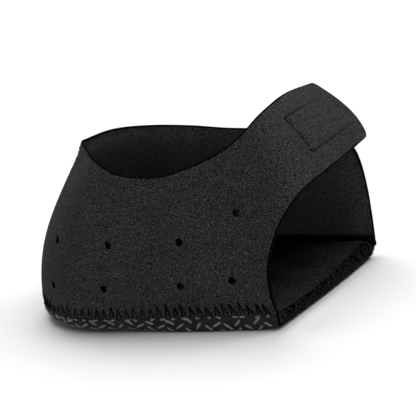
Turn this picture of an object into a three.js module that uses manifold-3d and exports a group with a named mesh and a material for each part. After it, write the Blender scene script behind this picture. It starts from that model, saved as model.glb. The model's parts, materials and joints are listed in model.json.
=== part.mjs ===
// Heel protector: an open heel cup of two neoprene side panels sewn to a cushioned sole.
// One panel carries a strap that crosses the instep and fastens over a tongue of the other.
// Millimetres, +Z up, +X towards the toes, +Y towards the side where the strap fastens.
// The origin is on the sole's flat underside, halfway along the sole.
import * as THREE from 'three';
import { mergeVertices } from 'three/addons/utils/BufferGeometryUtils.js';
import Module from 'manifold-3d';

// Sole, measured from the back of the heel
const SOLE_LENGTH = 119;
const FRONT_SKEW = 2.5; // the front edge reaches this much further on the +Y side, and less on the other
const HEEL_DEPTH = 43;
const HEEL_HALF_WIDTH = 39.6;
const FRONT_HALF_WIDTH = 37;
const OUTSOLE_HEIGHT = 5.7;
const OUTSOLE_FLOOR = 1.8;
const SOLE_EDGE_ROUNDING = 4.5;
const PAD_TOP = 7.6;
const PAD_EDGE_ROUNDING = 1.4;
const BINDING_DEPTH = 4;
const BINDING_ROUNDING = 2.6;

// Cloth and clearances
const WALL = 2.2;
const GAP = 0.3;
const SEAM_HEIGHT = OUTSOLE_HEIGHT + GAP;
const HOLE_DIAMETER = 2.6;
const TAB_CORNER = 1.8;
const HOOK_THICKNESS = 1.4;
const SAG = 0.35; // share by which a section's belly swells below its middle and slackens above it

// Steps of the faceted surfaces
const STEPS_PER_ROW = 4;
const STEPS_UP = 10;
const HOOK_STEPS = 6;
const HOLE_SIDES = 10;
const TAB_CORNER_STEPS = 4;
const SIDE_STEPS = 10;
const HEEL_STEPS = 12;
const ROUND_STEPS = 3;

const NEAR = -1;
const FAR = 1;
const UP = new THREE.Vector3(0, 0, 1);

const vec = (x, y, z) => new THREE.Vector3(x, y, z);
const spread = (steps) => Array.from({ length: steps + 1 }, (unused, k) => k / steps);

// The sole's edge in plan. Place 0 is the back of the heel, 1 its widest point, 2 the front corner:
// a quarter ellipse, then a side that eases in to the front width.
function soleEdge(place, side, inset = 0, setBack = 0) {
  const turn = Math.min(place, 1) * Math.PI / 2;
  const run = Math.max(place - 1, 0);
  const ease = run * run * (3 - 2 * run);
  const front = SOLE_LENGTH + side * FRONT_SKEW - setBack;
  const x = HEEL_DEPTH - (HEEL_DEPTH - inset) * Math.cos(turn) + run * (front - HEEL_DEPTH);
  const y = (HEEL_HALF_WIDTH - inset) * Math.sin(turn) + (FRONT_HALF_WIDTH - HEEL_HALF_WIDTH) * ease;
  return new THREE.Vector2(x, side * y);
}

function seam(place, side) {
  const edge = soleEdge(place, side);
  return vec(edge.x, edge.y, SEAM_HEIGHT);
}

// A row is one section of a side panel, from its lower edge to its top edge. Belly is how far the
// section stands out from the straight line between them, and a corner row breaks the lower edge.
const STRAP_ROWS = [
  { place: 'back', low: seam(0, NEAR), top: vec(27, 0, 62.8), belly: 6.2 },
  { place: 'heel turn', low: seam(0.36, NEAR), top: vec(37, -13.5, 63.6), belly: 5.6 },
  { place: 'heel side', low: seam(0.72, NEAR), top: vec(49.2, -28.6, 63.6), belly: 4.8 },
  { place: 'ankle', low: seam(1.08, NEAR), top: vec(62, -35, 59.5), belly: 3 },
  { place: 'dip', low: seam(1.42, NEAR), top: vec(78, -35.2, 58.5), belly: 2.6 },
  { place: 'rise', low: seam(1.74, NEAR), top: vec(90, -33.5, 60.1), belly: 2.6 },
  { place: 'front corner', low: seam(2, NEAR), top: vec(98, -31.8, 62), belly: 2.4, corner: true },
  { place: 'front edge', low: vec(115.2, -37.5, 14.5), top: vec(103, -30.4, 64), belly: 1.9 },
  { place: 'waist', low: vec(116.6, -37.5, 24.5), top: vec(107.5, -28.8, 66.7), belly: 1.6 },
  { place: 'shoulder', low: vec(122.1, -36.2, 36), top: vec(111.8, -26.2, 70), belly: 1.7 },
  { place: 'strap root', low: vec(127.2, -33.2, 43.4), top: vec(114.8, -21.5, 73.2), belly: 2.2 },
  { place: 'strap bend', low: vec(130.2, -24.5, 47.6), top: vec(116.2, -14.5, 74.9), belly: 2.4 },
  { place: 'strap', low: vec(130.8, -10, 48.3), top: vec(115.9, -4, 75.4), belly: 2.6 },
  { place: 'tab', low: vec(130.6, 8, 48.5), top: vec(114.7, 8, 74.4), belly: 3 },
  { place: 'tab end', low: vec(130.3, 29, 49.3), top: vec(112.8, 28.2, 71.4), belly: 3 },
];
const LANDING_ROWS = [
  { place: 'back', low: seam(0, FAR), top: vec(27, 0, 62.8), belly: 6.2 },
  { place: 'heel turn', low: seam(0.36, FAR), top: vec(33, 13, 63.2), belly: 5.6 },
  { place: 'heel side', low: seam(0.72, FAR), top: vec(41, 26, 60.2), belly: 4.8 },
  { place: 'ankle', low: seam(1.08, FAR), top: vec(53, 35, 56.1), belly: 3 },
  { place: 'dip', low: seam(1.42, FAR), top: vec(68, 36.2, 53.9), belly: 2.6 },
  { place: 'rise', low: seam(1.74, FAR), top: vec(81, 35, 53.7), belly: 2.4 },
  { place: 'front corner', low: seam(2, FAR), top: vec(91, 33.5, 55.6), belly: 2, corner: true },
  { place: 'front edge', low: vec(121.9, 37.4, 16), top: vec(98, 31.5, 59.4), belly: 1.5 },
  { place: 'waist', low: vec(122.4, 36.9, 27), top: vec(103.2, 28.5, 63.6), belly: 1.4 },
  { place: 'shoulder', low: vec(122.8, 34.8, 37.5), top: vec(106.8, 24, 67.4), belly: 1.6 },
  { place: 'under tab', low: vec(124, 28.5, 44.9), top: vec(109.2, 17.5, 70.1), belly: 2.2 },
  { place: 'tongue', low: vec(126.3, 15, 44.7), top: vec(110.5, 8, 71.2), belly: 2.6 },
  { place: 'tongue end', low: vec(126.5, -2, 45.2), top: vec(110.9, -2, 71.4), belly: 2.6 },
];

// Breathing holes: place along the rows, and height as a fraction of the section.
// The landing panel has the first six of them, and the strap's panel has all.
const HOLES = [
  { row: 1.79, height: 0.19 },
  { row: 1.72, height: 0.465 },
  { row: 2.9, height: 0.225 },
  { row: 2.98, height: 0.53 },
  { row: 4.28, height: 0.235 },
  { row: 4.42, height: 0.54 },
  { row: 5.35, height: 0.245 },
  { row: 6.77, height: 0.6 },
];

const LANDING_HOLES = 6;

// The hook patch lies under the tab, inside the tab's sewn rectangle
const HOOK = { from: 11.6, to: 13.45, low: 0.3, top: 0.72 };

const NEOPRENE = { color: 0x262626, roughness: 0.9, metalness: 0 };
const ANTI_SLIP = { color: 0x1c1c1c, roughness: 0.85, metalness: 0 };
const LINING = { color: 0x141414, roughness: 0.95, metalness: 0 };
const HOOK_TAPE = { color: 0x101010, roughness: 0.7, metalness: 0 };

// A smooth curve through one column of the rows. Each slope is half the step from the row before to
// the row after. At the back a curve either mirrors its neighbour, and crosses the centre seam
// smoothly, or makes straight for it, and meets the other panel in a crease.
function columnCurve(points, { corners = [], crease = false } = {}) {
  const last = points.length - 1;
  const mirrored = vec(points[1].x, -points[1].y, points[1].z);
  const step = (a, b) => points[b].clone().sub(points[a]);
  const slope = (k) => {
    if (k === 0) return crease ? step(0, 1) : points[1].clone().sub(mirrored).multiplyScalar(0.5);
    if (k === last) return step(last - 1, last);
    return step(k - 1, k + 1).multiplyScalar(0.5);
  };
  return (row) => {
    const k = Math.min(Math.floor(row), last - 1);
    const leave = corners[k] ? step(k, k + 1) : slope(k);
    const arrive = corners[k + 1] ? step(k, k + 1) : slope(k + 1);
    const u = row - k;
    const point = points[k].clone().multiplyScalar((1 + 2 * u) * (1 - u) ** 2);
    point.addScaledVector(leave, u * (1 - u) ** 2);
    point.addScaledVector(points[k + 1], u * u * (3 - 2 * u));
    return point.addScaledVector(arrive, u * u * (u - 1));
  };
}

// A panel's outer face: at (row, height) the straight section plus its belly, a sagging parabola that
// stands out square to the section and to the run of the panel.
function panelFace(rows, side) {
  const low = columnCurve(rows.map((row) => row.low), { corners: rows.map((row) => row.corner) });
  const top = columnCurve(rows.map((row) => row.top), { crease: true });
  const spine = columnCurve(rows.map((row) => row.low.clone().lerp(row.top, 0.5)));
  const belly = columnCurve(rows.map((row) => vec(row.belly, 0, 0)));
  const last = rows.length - 1;
  const NUDGE = 0.02;
  return (row, height) => {
    const foot = low(row);
    const chord = top(row).sub(foot);
    const run = spine(Math.min(row + NUDGE, last)).sub(spine(Math.max(row - NUDGE, 0)));
    if (row < NUDGE) run.set(0, side, 0);
    const out = run.cross(chord).multiplyScalar(-side).normalize();
    const rise = 4 * height * (1 - height) * (1 + SAG * (1 - 2 * height)) * belly(row).x;
    return foot.addScaledVector(chord, height).addScaledVector(out, rise);
  };
}

// A closed solid from a grid of points on each of its two faces, joined around the rim
function slab(outside, inside) {
  const across = outside.length;
  const up = outside[0].length;
  const points = [...outside.flat(), ...inside.flat()];
  const at = (layer, i, j) => layer * across * up + i * up + j;
  const index = [];
  const quad = (a, b, c, d) => index.push(a, b, c, a, c, d);
  for (let i = 0; i < across - 1; i++) {
    for (let j = 0; j < up - 1; j++) {
      quad(at(0, i, j), at(0, i + 1, j), at(0, i + 1, j + 1), at(0, i, j + 1));
      quad(at(1, i, j), at(1, i, j + 1), at(1, i + 1, j + 1), at(1, i + 1, j));
    }
    quad(at(1, i, 0), at(1, i + 1, 0), at(0, i + 1, 0), at(0, i, 0));
    quad(at(0, i, up - 1), at(0, i + 1, up - 1), at(1, i + 1, up - 1), at(1, i, up - 1));
  }
  for (let j = 0; j < up - 1; j++) {
    quad(at(1, 0, j), at(0, 0, j), at(0, 0, j + 1), at(1, 0, j + 1));
    quad(at(0, across - 1, j), at(1, across - 1, j), at(1, across - 1, j + 1), at(0, across - 1, j + 1));
  }
  return indexed(points, index);
}

// A closed solid through a stack of rings, each end closed by a fan of triangles
function stack(rings) {
  const size = rings[0].length;
  const centre = (ring) => ring.reduce((sum, p) => sum.add(p), vec(0, 0, 0)).divideScalar(size);
  const points = [...rings.flat(), centre(rings[0]), centre(rings.at(-1))];
  const first = rings.length * size;
  const index = [];
  for (let k = 0; k < size; k++) {
    const next = (k + 1) % size;
    for (let r = 0; r < rings.length - 1; r++) {
      const a = r * size;
      index.push(a + k, a + next, a + size + next, a + k, a + size + next, a + size + k);
    }
    const end = (rings.length - 1) * size;
    index.push(first, next, k, first + 1, end + k, end + next);
  }
  return indexed(points, index);
}

function indexed(points, index) {
  const geometry = new THREE.BufferGeometry().setFromPoints(points);
  geometry.setIndex(index);
  return geometry;
}

// The normals of a face given as a function of (row, height), pointing out of the cup
function faceNormal(face, side, lastRow) {
  const NUDGE = 0.01;
  const along = (row, height) =>
    face(Math.min(row + NUDGE, lastRow), height).sub(face(Math.max(row - NUDGE, 0), height));
  const upward = (row, height) =>
    face(row, Math.min(height + NUDGE, 1)).sub(face(row, Math.max(height - NUDGE, 0)));
  return (row, height) => along(row, height).cross(upward(row, height)).multiplyScalar(-side).normalize();
}

// A grid of points on a face, moved out by lift
function grid(face, normal, rows, spanAt, steps, lift) {
  return rows.map((row) => {
    const [from, to] = spanAt(row);
    return spread(steps).map((part) => {
      const height = from + (to - from) * part;
      return face(row, height).addScaledVector(normal(row, height), lift);
    });
  });
}

const wasm = await Module();
wasm.setup();

function solid(geometry) {
  const bare = geometry.clone();
  bare.deleteAttribute('normal');
  bare.deleteAttribute('uv');
  const merged = mergeVertices(bare);
  return new wasm.Manifold(new wasm.Mesh({
    numProp: 3,
    vertProperties: new Float32Array(merged.attributes.position.array),
    triVerts: new Uint32Array(merged.index.array),
  }));
}

function cut(geometry, tools) {
  const left = tools.reduce((body, tool) => body.subtract(solid(tool)), solid(geometry));
  const mesh = left.getMesh();
  const result = new THREE.BufferGeometry();
  result.setAttribute('position', new THREE.BufferAttribute(mesh.vertProperties, 3));
  result.setIndex(new THREE.BufferAttribute(mesh.triVerts, 1));
  return result;
}

// A punch through the cloth, square to its face
function punch(point, direction) {
  const tool = new THREE.CylinderGeometry(HOLE_DIAMETER / 2, HOLE_DIAMETER / 2, 4 * WALL, HOLE_SIDES);
  tool.applyQuaternion(new THREE.Quaternion().setFromUnitVectors(vec(0, 1, 0), direction));
  return tool.translate(point.x, point.y, point.z);
}

// A side panel: the face and the face one wall further in, with the breathing holes punched.
// The back edge is mitred half a gap short of the centre seam, and the foot of the wall is cut level.
function sidePanel(rows, side, holes, spanAt, endRows) {
  const lastRow = rows.length - 1;
  const face = panelFace(rows, side);
  const normal = faceNormal(face, side, lastRow);
  const even = spread(lastRow * STEPS_PER_ROW).map((part) => part * lastRow);
  const places = [...even.filter((row) => row < endRows[0]), ...endRows];
  const outside = grid(face, normal, places, spanAt, STEPS_UP, 0);
  const inside = grid(face, normal, places, spanAt, STEPS_UP, -WALL);
  outside[0].forEach((p, j) => {
    const tilt = normal(0, j / STEPS_UP);
    const across = 1 - tilt.y ** 2;
    p.y = side * GAP / 2;
    inside[0][j].set(p.x - WALL * tilt.x / across, p.y, p.z - WALL * tilt.z / across);
  });
  for (const p of inside.flat()) {
    p.z = Math.max(p.z, SEAM_HEIGHT);
  }
  const body = side === NEAR ? slab(outside, inside) : slab(inside, outside);
  return cut(body, holes.map(({ row, height }) => punch(face(row, height), normal(row, height))));
}

// The strap's free end has rounded corners: its section narrows along a quarter circle
const STRAP_END = STRAP_ROWS.length - 1;
const TAB_ROW_LENGTH = STRAP_ROWS.at(-1).low.distanceTo(STRAP_ROWS.at(-2).low);
const TAB_WIDTH = STRAP_ROWS.at(-1).low.distanceTo(STRAP_ROWS.at(-1).top);

function strapSpan(row) {
  const toEnd = (STRAP_END - row) * TAB_ROW_LENGTH;
  const into = Math.max(TAB_CORNER - toEnd, 0);
  const narrower = (TAB_CORNER - Math.sqrt(TAB_CORNER ** 2 - into ** 2)) / TAB_WIDTH;
  return [narrower, 1 - narrower];
}

function strapPanel() {
  const tabRows = spread(TAB_CORNER_STEPS).map((part) => {
    const turn = part * Math.PI / 2;
    return STRAP_END - TAB_CORNER * (1 - Math.sin(turn)) / TAB_ROW_LENGTH;
  });
  return sidePanel(STRAP_ROWS, NEAR, HOLES, strapSpan, tabRows);
}

function landingPanel() {
  const holes = HOLES.slice(0, LANDING_HOLES);
  return sidePanel(LANDING_ROWS, FAR, holes, () => [0, 1], [LANDING_ROWS.length - 1]);
}

function hookPatch() {
  const face = panelFace(STRAP_ROWS, NEAR);
  const normal = faceNormal(face, NEAR, STRAP_END);
  const places = spread(HOOK_STEPS).map((part) => HOOK.from + (HOOK.to - HOOK.from) * part);
  const spanAt = () => [HOOK.low, HOOK.top];
  const outside = grid(face, normal, places, spanAt, HOOK_STEPS, -WALL - GAP);
  const inside = grid(face, normal, places, spanAt, HOOK_STEPS, -WALL - GAP - HOOK_THICKNESS);
  return slab(outside, inside);
}

// A ring around the sole at one height, anticlockwise from above, with a straight front edge
function soleRing(inset, z, setBack = 0) {
  const places = [...spread(HEEL_STEPS), ...spread(SIDE_STEPS).slice(1).map((part) => 1 + part)];
  const lift = (side) => (place) => {
    const edge = soleEdge(place, side, inset, setBack);
    return vec(edge.x, edge.y, z);
  };
  return [...places.toReversed().map(lift(FAR)), ...places.slice(1).map(lift(NEAR))];
}

// The ring rounds from a flat face into the side: quarter circle of the given radius
function roundedRings(inset, radius, z, rising, setBack = 0) {
  return spread(ROUND_STEPS).map((part) => {
    const turn = part * Math.PI / 2;
    const level = rising ? z - radius * Math.cos(turn) : z + radius * Math.sin(turn);
    const inward = rising ? radius * (1 - Math.sin(turn)) : radius * (1 - Math.cos(turn));
    return soleRing(inset + inward, level, setBack);
  });
}

const FRONT_NEAR = soleEdge(2, NEAR);
const FRONT_FAR = soleEdge(2, FAR);
const FRONT_RUN = vec(FRONT_FAR.x - FRONT_NEAR.x, FRONT_FAR.y - FRONT_NEAR.y, 0).normalize();
const FRONT_OUT = FRONT_RUN.clone().cross(UP);
const FRONT_MIDDLE = vec((FRONT_NEAR.x + FRONT_FAR.x) / 2, (FRONT_NEAR.y + FRONT_FAR.y) / 2, 0);
const BINDING_HALF = FRONT_HALF_WIDTH - WALL - 2 * GAP;

// A tray of anti-slip cloth: floor, rounded edge and a rim up to the seam, open at the front
function outsole() {
  const rings = [
    ...roundedRings(0, SOLE_EDGE_ROUNDING, SOLE_EDGE_ROUNDING, true),
    soleRing(0, OUTSOLE_HEIGHT),
    soleRing(WALL, OUTSOLE_HEIGHT, WALL),
    soleRing(WALL, OUTSOLE_FLOOR, WALL),
  ];
  const depth = BINDING_DEPTH + GAP;
  const notch = new THREE.BoxGeometry(2 * depth, 2 * (BINDING_HALF + GAP), 4 * OUTSOLE_HEIGHT);
  notch.rotateZ(Math.atan2(FRONT_OUT.y, FRONT_OUT.x));
  notch.translate(FRONT_MIDDLE.x, FRONT_MIDDLE.y, 0);
  return cut(stack(rings), [notch]);
}

// The cushion fills the tray and the foot of the walls
function insolePad() {
  const inset = WALL + 2 * GAP;
  const setBack = BINDING_DEPTH + 2 * GAP;
  const rings = [
    soleRing(inset, OUTSOLE_FLOOR + GAP, setBack),
    ...roundedRings(inset, PAD_EDGE_ROUNDING, PAD_TOP - PAD_EDGE_ROUNDING, false, setBack),
  ];
  return stack(rings);
}

// A bar of rough binding across the front edge of the sole, rounded outwards
function frontBinding() {
  const corner = (z, rising) => spread(ROUND_STEPS).map((part) => {
    const turn = part * Math.PI / 2;
    const reach = rising ? Math.sin(turn) : Math.cos(turn);
    const level = rising ? -Math.cos(turn) : Math.sin(turn);
    return { out: BINDING_ROUNDING * (reach - 1), z: z + BINDING_ROUNDING * level };
  });
  const profile = [
    { out: -BINDING_DEPTH, z: GAP },
    ...corner(GAP + BINDING_ROUNDING, true),
    ...corner(PAD_TOP - BINDING_ROUNDING, false),
    { out: -BINDING_DEPTH, z: PAD_TOP },
  ];
  const slice = (along) => profile.map(({ out, z }) =>
    FRONT_MIDDLE.clone().addScaledVector(FRONT_RUN, along).addScaledVector(FRONT_OUT, out).setZ(z));
  return stack([slice(BINDING_HALF), slice(-BINDING_HALF)]);
}

function piece(name, geometry, look) {
  const mesh = new THREE.Mesh(geometry, new THREE.MeshStandardMaterial(look));
  mesh.name = name;
  return mesh;
}

const heelProtector = new THREE.Group();
heelProtector.add(
  piece('side_panel_strap', strapPanel(), NEOPRENE),
  piece('side_panel_landing', landingPanel(), NEOPRENE),
  piece('hook_patch', hookPatch(), HOOK_TAPE),
  piece('outsole', outsole(), ANTI_SLIP),
  piece('insole_pad', insolePad(), LINING),
  piece('front_binding', frontBinding(), LINING),
);
heelProtector.position.x = -SOLE_LENGTH / 2;

export default heelProtector;
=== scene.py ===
"""Heel protector: a neoprene heel cup with an instep strap on a cushioned anti-slip sole.

Every surface is worked out in millimetres from the back of the heel and put into the row frame in metres.
"""
import json
import math

import bmesh
import bpy
import numpy as np
from mathutils import Matrix


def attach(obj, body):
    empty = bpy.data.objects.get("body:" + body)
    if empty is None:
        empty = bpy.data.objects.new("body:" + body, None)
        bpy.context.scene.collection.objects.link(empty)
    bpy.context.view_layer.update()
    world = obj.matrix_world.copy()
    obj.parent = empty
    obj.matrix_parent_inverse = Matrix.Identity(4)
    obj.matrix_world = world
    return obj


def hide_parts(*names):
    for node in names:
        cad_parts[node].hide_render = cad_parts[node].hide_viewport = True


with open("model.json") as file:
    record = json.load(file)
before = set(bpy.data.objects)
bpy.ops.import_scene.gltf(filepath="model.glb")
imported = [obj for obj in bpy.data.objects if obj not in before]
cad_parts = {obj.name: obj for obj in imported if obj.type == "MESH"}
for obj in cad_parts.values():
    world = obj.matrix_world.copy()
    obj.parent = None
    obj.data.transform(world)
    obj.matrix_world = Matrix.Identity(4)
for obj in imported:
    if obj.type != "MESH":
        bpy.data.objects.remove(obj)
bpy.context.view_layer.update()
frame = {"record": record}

bl_info = {
    "name": "Heel Protector",
    "version": (1, 0, 0),
    "blender": (4, 5, 0),
    "location": "3D View > Sidebar > Heel",
    "description": "Builds the heel protector's cloth, sole, seams and stage over the packed frame",
    "category": "Add Mesh",
}

FINISH = {entry["slot"]: entry["base_color"] for entry in frame["record"]["materials"]}
MM = 0.001
SAME_PLACE = 2e-7  # points this near to each other, in metres, are one
ORIGIN_X = 59.5  # the row's origin lies this far ahead of the back of the heel
NEAR = -1
FAR = 1

# Sole and panels, with most sizes as in the part's source
SOLE_LENGTH = 119
FRONT_SKEW = 2.5
HEEL_DEPTH = 43
HEEL_HALF_WIDTH = 39.6
FRONT_HALF_WIDTH = 37
OUTSOLE_FLOOR = 1.8
SOLE_ROUNDING = 4.2
PAD_TOP = 7.6
BINDING_DEPTH = 4
GAP = 0.3
SEAM_HEIGHT = 6.0
WALL_FOOT = 2.2
SAG = 0.35
TAB_CORNER = 1.8

# Places of the sewn rows on the sole's edge, and the corner row where the panels leave it
SEWN_PLACES = np.array([0, 0.36, 0.72, 1.08, 1.42, 1.74, 2])
CORNER_ROW = 6
FRONT_ROW = 19  # the last sewn row's length, back from the corner
TAB_ROW = 11  # the strap's tab starts here

# The panels' rows: free lower edge and top edge as (x, y, z), and how far each section bellies out
STRAP_FREE_EDGE = [
    (115.9, -37.5, 14.5), (117.1, -37.5, 24.5), (122.1, -36.2, 36), (127.2, -33.2, 43.4),
    (130.2, -24.5, 47.6), (130.8, -10, 48.3), (130.6, 8, 48.5), (130.3, 29, 49.3),
]
STRAP_TOP = [
    (27, 0, 62.8), (37, -13.5, 63.8), (49.2, -28.6, 64.1), (62, -35, 59.85), (78, -35.2, 58.05),
    (90, -33.5, 60), (98, -31.8, 62.4), (103, -30.4, 64.4), (107.5, -28.8, 66.8), (111.8, -26.2, 70),
    (114.8, -21.5, 73.2), (116.2, -14.5, 74.9), (115.9, -4, 75.4), (114.7, 8, 74.4), (112.8, 28.2, 71.4),
]
STRAP_BELLY = [6.2, 5.6, 4.8, 3, 2.6, 2.6, 2.4, 1.9, 1.6, 1.7, 2.2, 2.4, 2.6, 3, 3]
LANDING_FREE_EDGE = [
    (121.9, 37.4, 16), (122.4, 36.9, 27), (122.8, 34.8, 37.5), (124, 28.5, 44.9),
    (126.5, 15, 44.9), (127.7, -2, 45.9),
]
LANDING_TOP = [
    (27, 0, 62.8), (33, 13, 63.2), (41, 26, 60.3), (53, 35, 56.6), (68, 36.2, 54.3), (81, 35, 53.9),
    (91, 33.5, 55.6), (98, 31.5, 59.4), (103.2, 28.5, 63.6), (106.8, 24, 67.4), (109.2, 17.5, 70.1),
    (111.2, 8, 71.6), (112.9, -2, 72.7),
]
LANDING_BELLY = [6.2, 5.6, 4.8, 3, 2.6, 2.4, 2, 1.5, 1.4, 1.6, 2.2, 2.6, 2.6]

# Breathing holes and the tab's sewn rectangle, as (row, height) on a panel
HOLES = np.array([
    (1.79, 0.19), (1.72, 0.465), (2.9, 0.225), (2.98, 0.53),
    (4.28, 0.235), (4.42, 0.54), (5.35, 0.245), (6.77, 0.6),
])
LANDING_HOLES = 6
PUNCH_REACH = 5  # a punch goes this far to either side of the outer face
TAB_SEAM = np.array([(11.43, 0.768), (11.77, 0.273), (13.80, 0.250), (13.56, 0.738)])
HOOK_ROWS = (11.6, 13.45)
HOOK_HEIGHTS = (0.3, 0.72)
HOOK_BACKING = 0.6
HOOK_GRID = (26, 12)  # hooks along the strap and across it
HOOK_RISE = 0.75
HOOK_BEND = 0.35

# Relief of the panels: how deep or high, and how far it reaches
BACK_FLARE = 1.2  # the back seam's top end stands out this far
BACK_FLARE_ROWS = 1.3
BACK_FLARE_DROP = 5
BACK_FLARE_RISE = {NEAR: 0, FAR: 0.4}  # and rises by this share of it
TAB_HOLLOW = 0.04  # how far, in rows, the middle of the tab's end is drawn back
TAB_HOLLOW_ROW = 13  # where that starts
CLOTH_SWELL = 0.16
CLOTH_SWELL_LENGTH = 26
HOLE_DENT = 0.35
HOLE_DENT_REACH = 1.9
SEAM_PRESS = 0.35  # the sewn foot is pressed in most a little above the seam
SEAM_PRESS_LEVEL = 1.0
SEAM_PRESS_REACH = 2.6
TAB_GROOVE = 0.5
TAB_GROOVE_REACH = 0.55
TAB_PUFF = 0.2
# How hard the tab's seam is pulled in: sides of the rectangle passed, pull
TAB_PULL = np.array([(0, 1), (1, 1), (2, 0.5), (2.2, 0.2), (3, 0.2), (3.4, 0.9), (4, 1)])

# Edges of the panels
PANEL_CELLS = 74
EDGE_CELLS = 5  # cells across the black line along a cut edge
INNER_EDGE_CELLS = 3
EDGE_ROUNDING = 0.24
RELIEF_FADE = 1.5  # the relief fades out over this distance to an edge
PARING = {NEAR: 2.6, FAR: 5}  # reach of the inner face's paring from the free edges
FAR_LINE = 0.5  # width of the black line along the far panel's edges
# Width of the black line along the near panel's lower and top edge: row, width
LOW_LINE = np.array([(CORNER_ROW, 0.7), (9, 0.6), (10.5, 0.8), (13.5, 0.8), (13.9, 0.12)])
TOP_LINE = np.array([(0, 0.55), (5.5, 0.55), (7, 0.7), (12, 0.8), (13.3, 0.15)])

# Numbers of a panel's materials
OUTSIDE = 0
INSIDE = 1
CUT_EDGE = 2

# Seams
SEAM_SINK = 0.7  # the zigzag's low points lie this far under the panels' foot
STITCH_START = 1.6  # length of the foot before the first stitch
STITCHES_LEFT = 2.5  # length of the foot without stitches in all
STITCH_UNEVEN = 0.16
STITCH_PRESS = 0.3  # the stitches follow this much of the foot's pressed band
# A zigzag stitch: part of the pitch, how far it has risen, how far along it has come
STITCH = np.array([(0, 0, 0), (0.14, 0, 0.17), (0.5, 1, 0.5), (0.86, 0, 0.83), (1, 0, 1)])
# Its thread: part of the pitch, height over the cloth
STITCH_DIP = np.array([
    (0, -0.6), (0.1, -0.6), (0.17, 0), (0.24, 0.08), (0.45, 0.08), (0.5, -0.3),
    (0.55, 0.08), (0.76, 0.08), (0.83, 0), (0.9, -0.6), (1, -0.6),
])
FINE_THREAD = 0.8  # share of the seam thread's thickness that the finer stitches have
BACK_FILL_HALF = 0.45  # half the filling's width between the panels
BACK_FILL_INSET = 0.12  # it ends this far inside the walls' faces
BACK_STITCH_PITCH = 2.6
BACK_STITCH_ROWS = 0.07  # a back stitch reaches so many rows into either panel
TAB_STITCH = 2.2
TAB_STITCH_GAP = 0.5
ROLL_RADIUS = 0.85
ROLL_BUMP = 0.3
ROLL_PITCH = 0.8
ROLL_START = -1.955  # its near end's place on the sole's edge
ROLL_PAST = 0.9  # it runs this far past the far front corner
ROLL_SINK = 0.1  # its front lies this far under the cushion's top
ROLL_FRONT = 121
ROLL_SLOPE = 0.0325  # it rises by this slope from its front over the run
ROLL_RUN = 46
WRAP_RADIUS = 0.17
WRAP_CLIMB = 0.35

# The photograph's camera: angles in degrees, its aim in millimetres from the back of the heel, its
# distance from there in metres
CAMERA_TURN = 32.0
CAMERA_TILT = 15.7
CAMERA_ROLL = 12.2
CAMERA_AIM = (75.4, -1.2, 34.4)
CAMERA_DISTANCE = 0.7
CAMERA_LENS = 164.2
SENSOR_WIDTH = 36

# Soft lights: name, place and side in metres, and watts
LIGHTS = (
    ("top_light", (-0.4, 0.8, 2.1), 1.8, 42),
    ("front_light", (1.4, 0.5, 1.8), 1.4, 22),
    ("near_light", (0.8, -1.1, 2.0), 1.6, 9),
)
LIGHT_AIM = (0, 0, 0.03)
STUDIO_GLOW = 0.23
FLOOR_REACH = 3  # metres to each side
FLOOR_POINTS = 13


def to_row(points):
    """Millimetres from the back of the heel, turned into metres in the row frame."""
    return (np.asarray(points, float) - (ORIGIN_X, 0, 0)) * MM


def unit(vectors):
    """Each vector divided by its length."""
    return vectors / np.linalg.norm(vectors, axis=-1, keepdims=True)


def running_length(points, axis=0):
    """Length along lines of points from their first point: the running sum of the steps."""
    steps = np.linalg.norm(np.diff(points, axis=axis), axis=-1)
    pad = [(0, 0)] * steps.ndim
    pad[axis] = (1, 0)
    return np.pad(np.cumsum(steps, axis=axis), pad)


def smooth(part):
    """A rise from 0 to 1 that is level at both ends: three times the square less twice the cube."""
    part = np.clip(part, 0, 1)
    return part * part * (3 - 2 * part)


def eased(value, start, end):
    """A smooth rise from 0 at a start to 1 at an end, which may lie to either side of it."""
    return smooth((value - start) / (end - start))


def waves(a, b, length, seed):
    """Slow uneven swell, mostly between -1 and 1: 1.6 times the mean of six plane sine waves over
    (a, b), each with a seeded direction and phase and a length 0.7 to 1.5 times the given one."""
    rng = np.random.default_rng(seed)
    turn, phase = rng.uniform(0, 2 * math.pi, (2, 6))
    number = 2 * math.pi / (length * rng.uniform(0.7, 1.5, 6))
    angle = (a[..., None] * np.cos(turn) + b[..., None] * np.sin(turn)) * number + phase
    return np.sin(angle).mean(axis=-1) * 1.6


def sole_edge(place):
    """The sole's edge in plan. The size of place runs from 0 at the back through 1 at the widest point
    to 2 at the front corner, and its sign is the side: a quarter ellipse, then a side easing in."""
    side = np.where(place < 0, -1.0, 1.0)
    turn = np.minimum(np.abs(place), 1) * math.pi / 2
    run = np.maximum(np.abs(place) - 1, 0)
    front = SOLE_LENGTH + side * FRONT_SKEW
    x = HEEL_DEPTH * (1 - np.cos(turn)) + run * (front - HEEL_DEPTH)
    y = side * (HEEL_HALF_WIDTH * np.sin(turn) + (FRONT_HALF_WIDTH - HEEL_HALF_WIDTH) * smooth(run))
    return np.stack([x, y], axis=-1)


def sole_outward(place):
    """The sole edge's outward direction in plan: its tangent turned by a right angle."""
    tangent = sole_edge(np.minimum(place + 0.01, 2)) - sole_edge(np.maximum(place - 0.01, -2))
    return unit(np.stack([-tangent[..., 1], tangent[..., 0]], axis=-1))


def sole_middle(place):
    """Where the sole's cross lines end: the heel's centre at the back, then the centre line."""
    run = np.maximum(np.abs(place) - 1, 0)
    return np.stack([HEEL_DEPTH + run * (SOLE_LENGTH - HEEL_DEPTH), np.zeros_like(run)], axis=-1)


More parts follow.
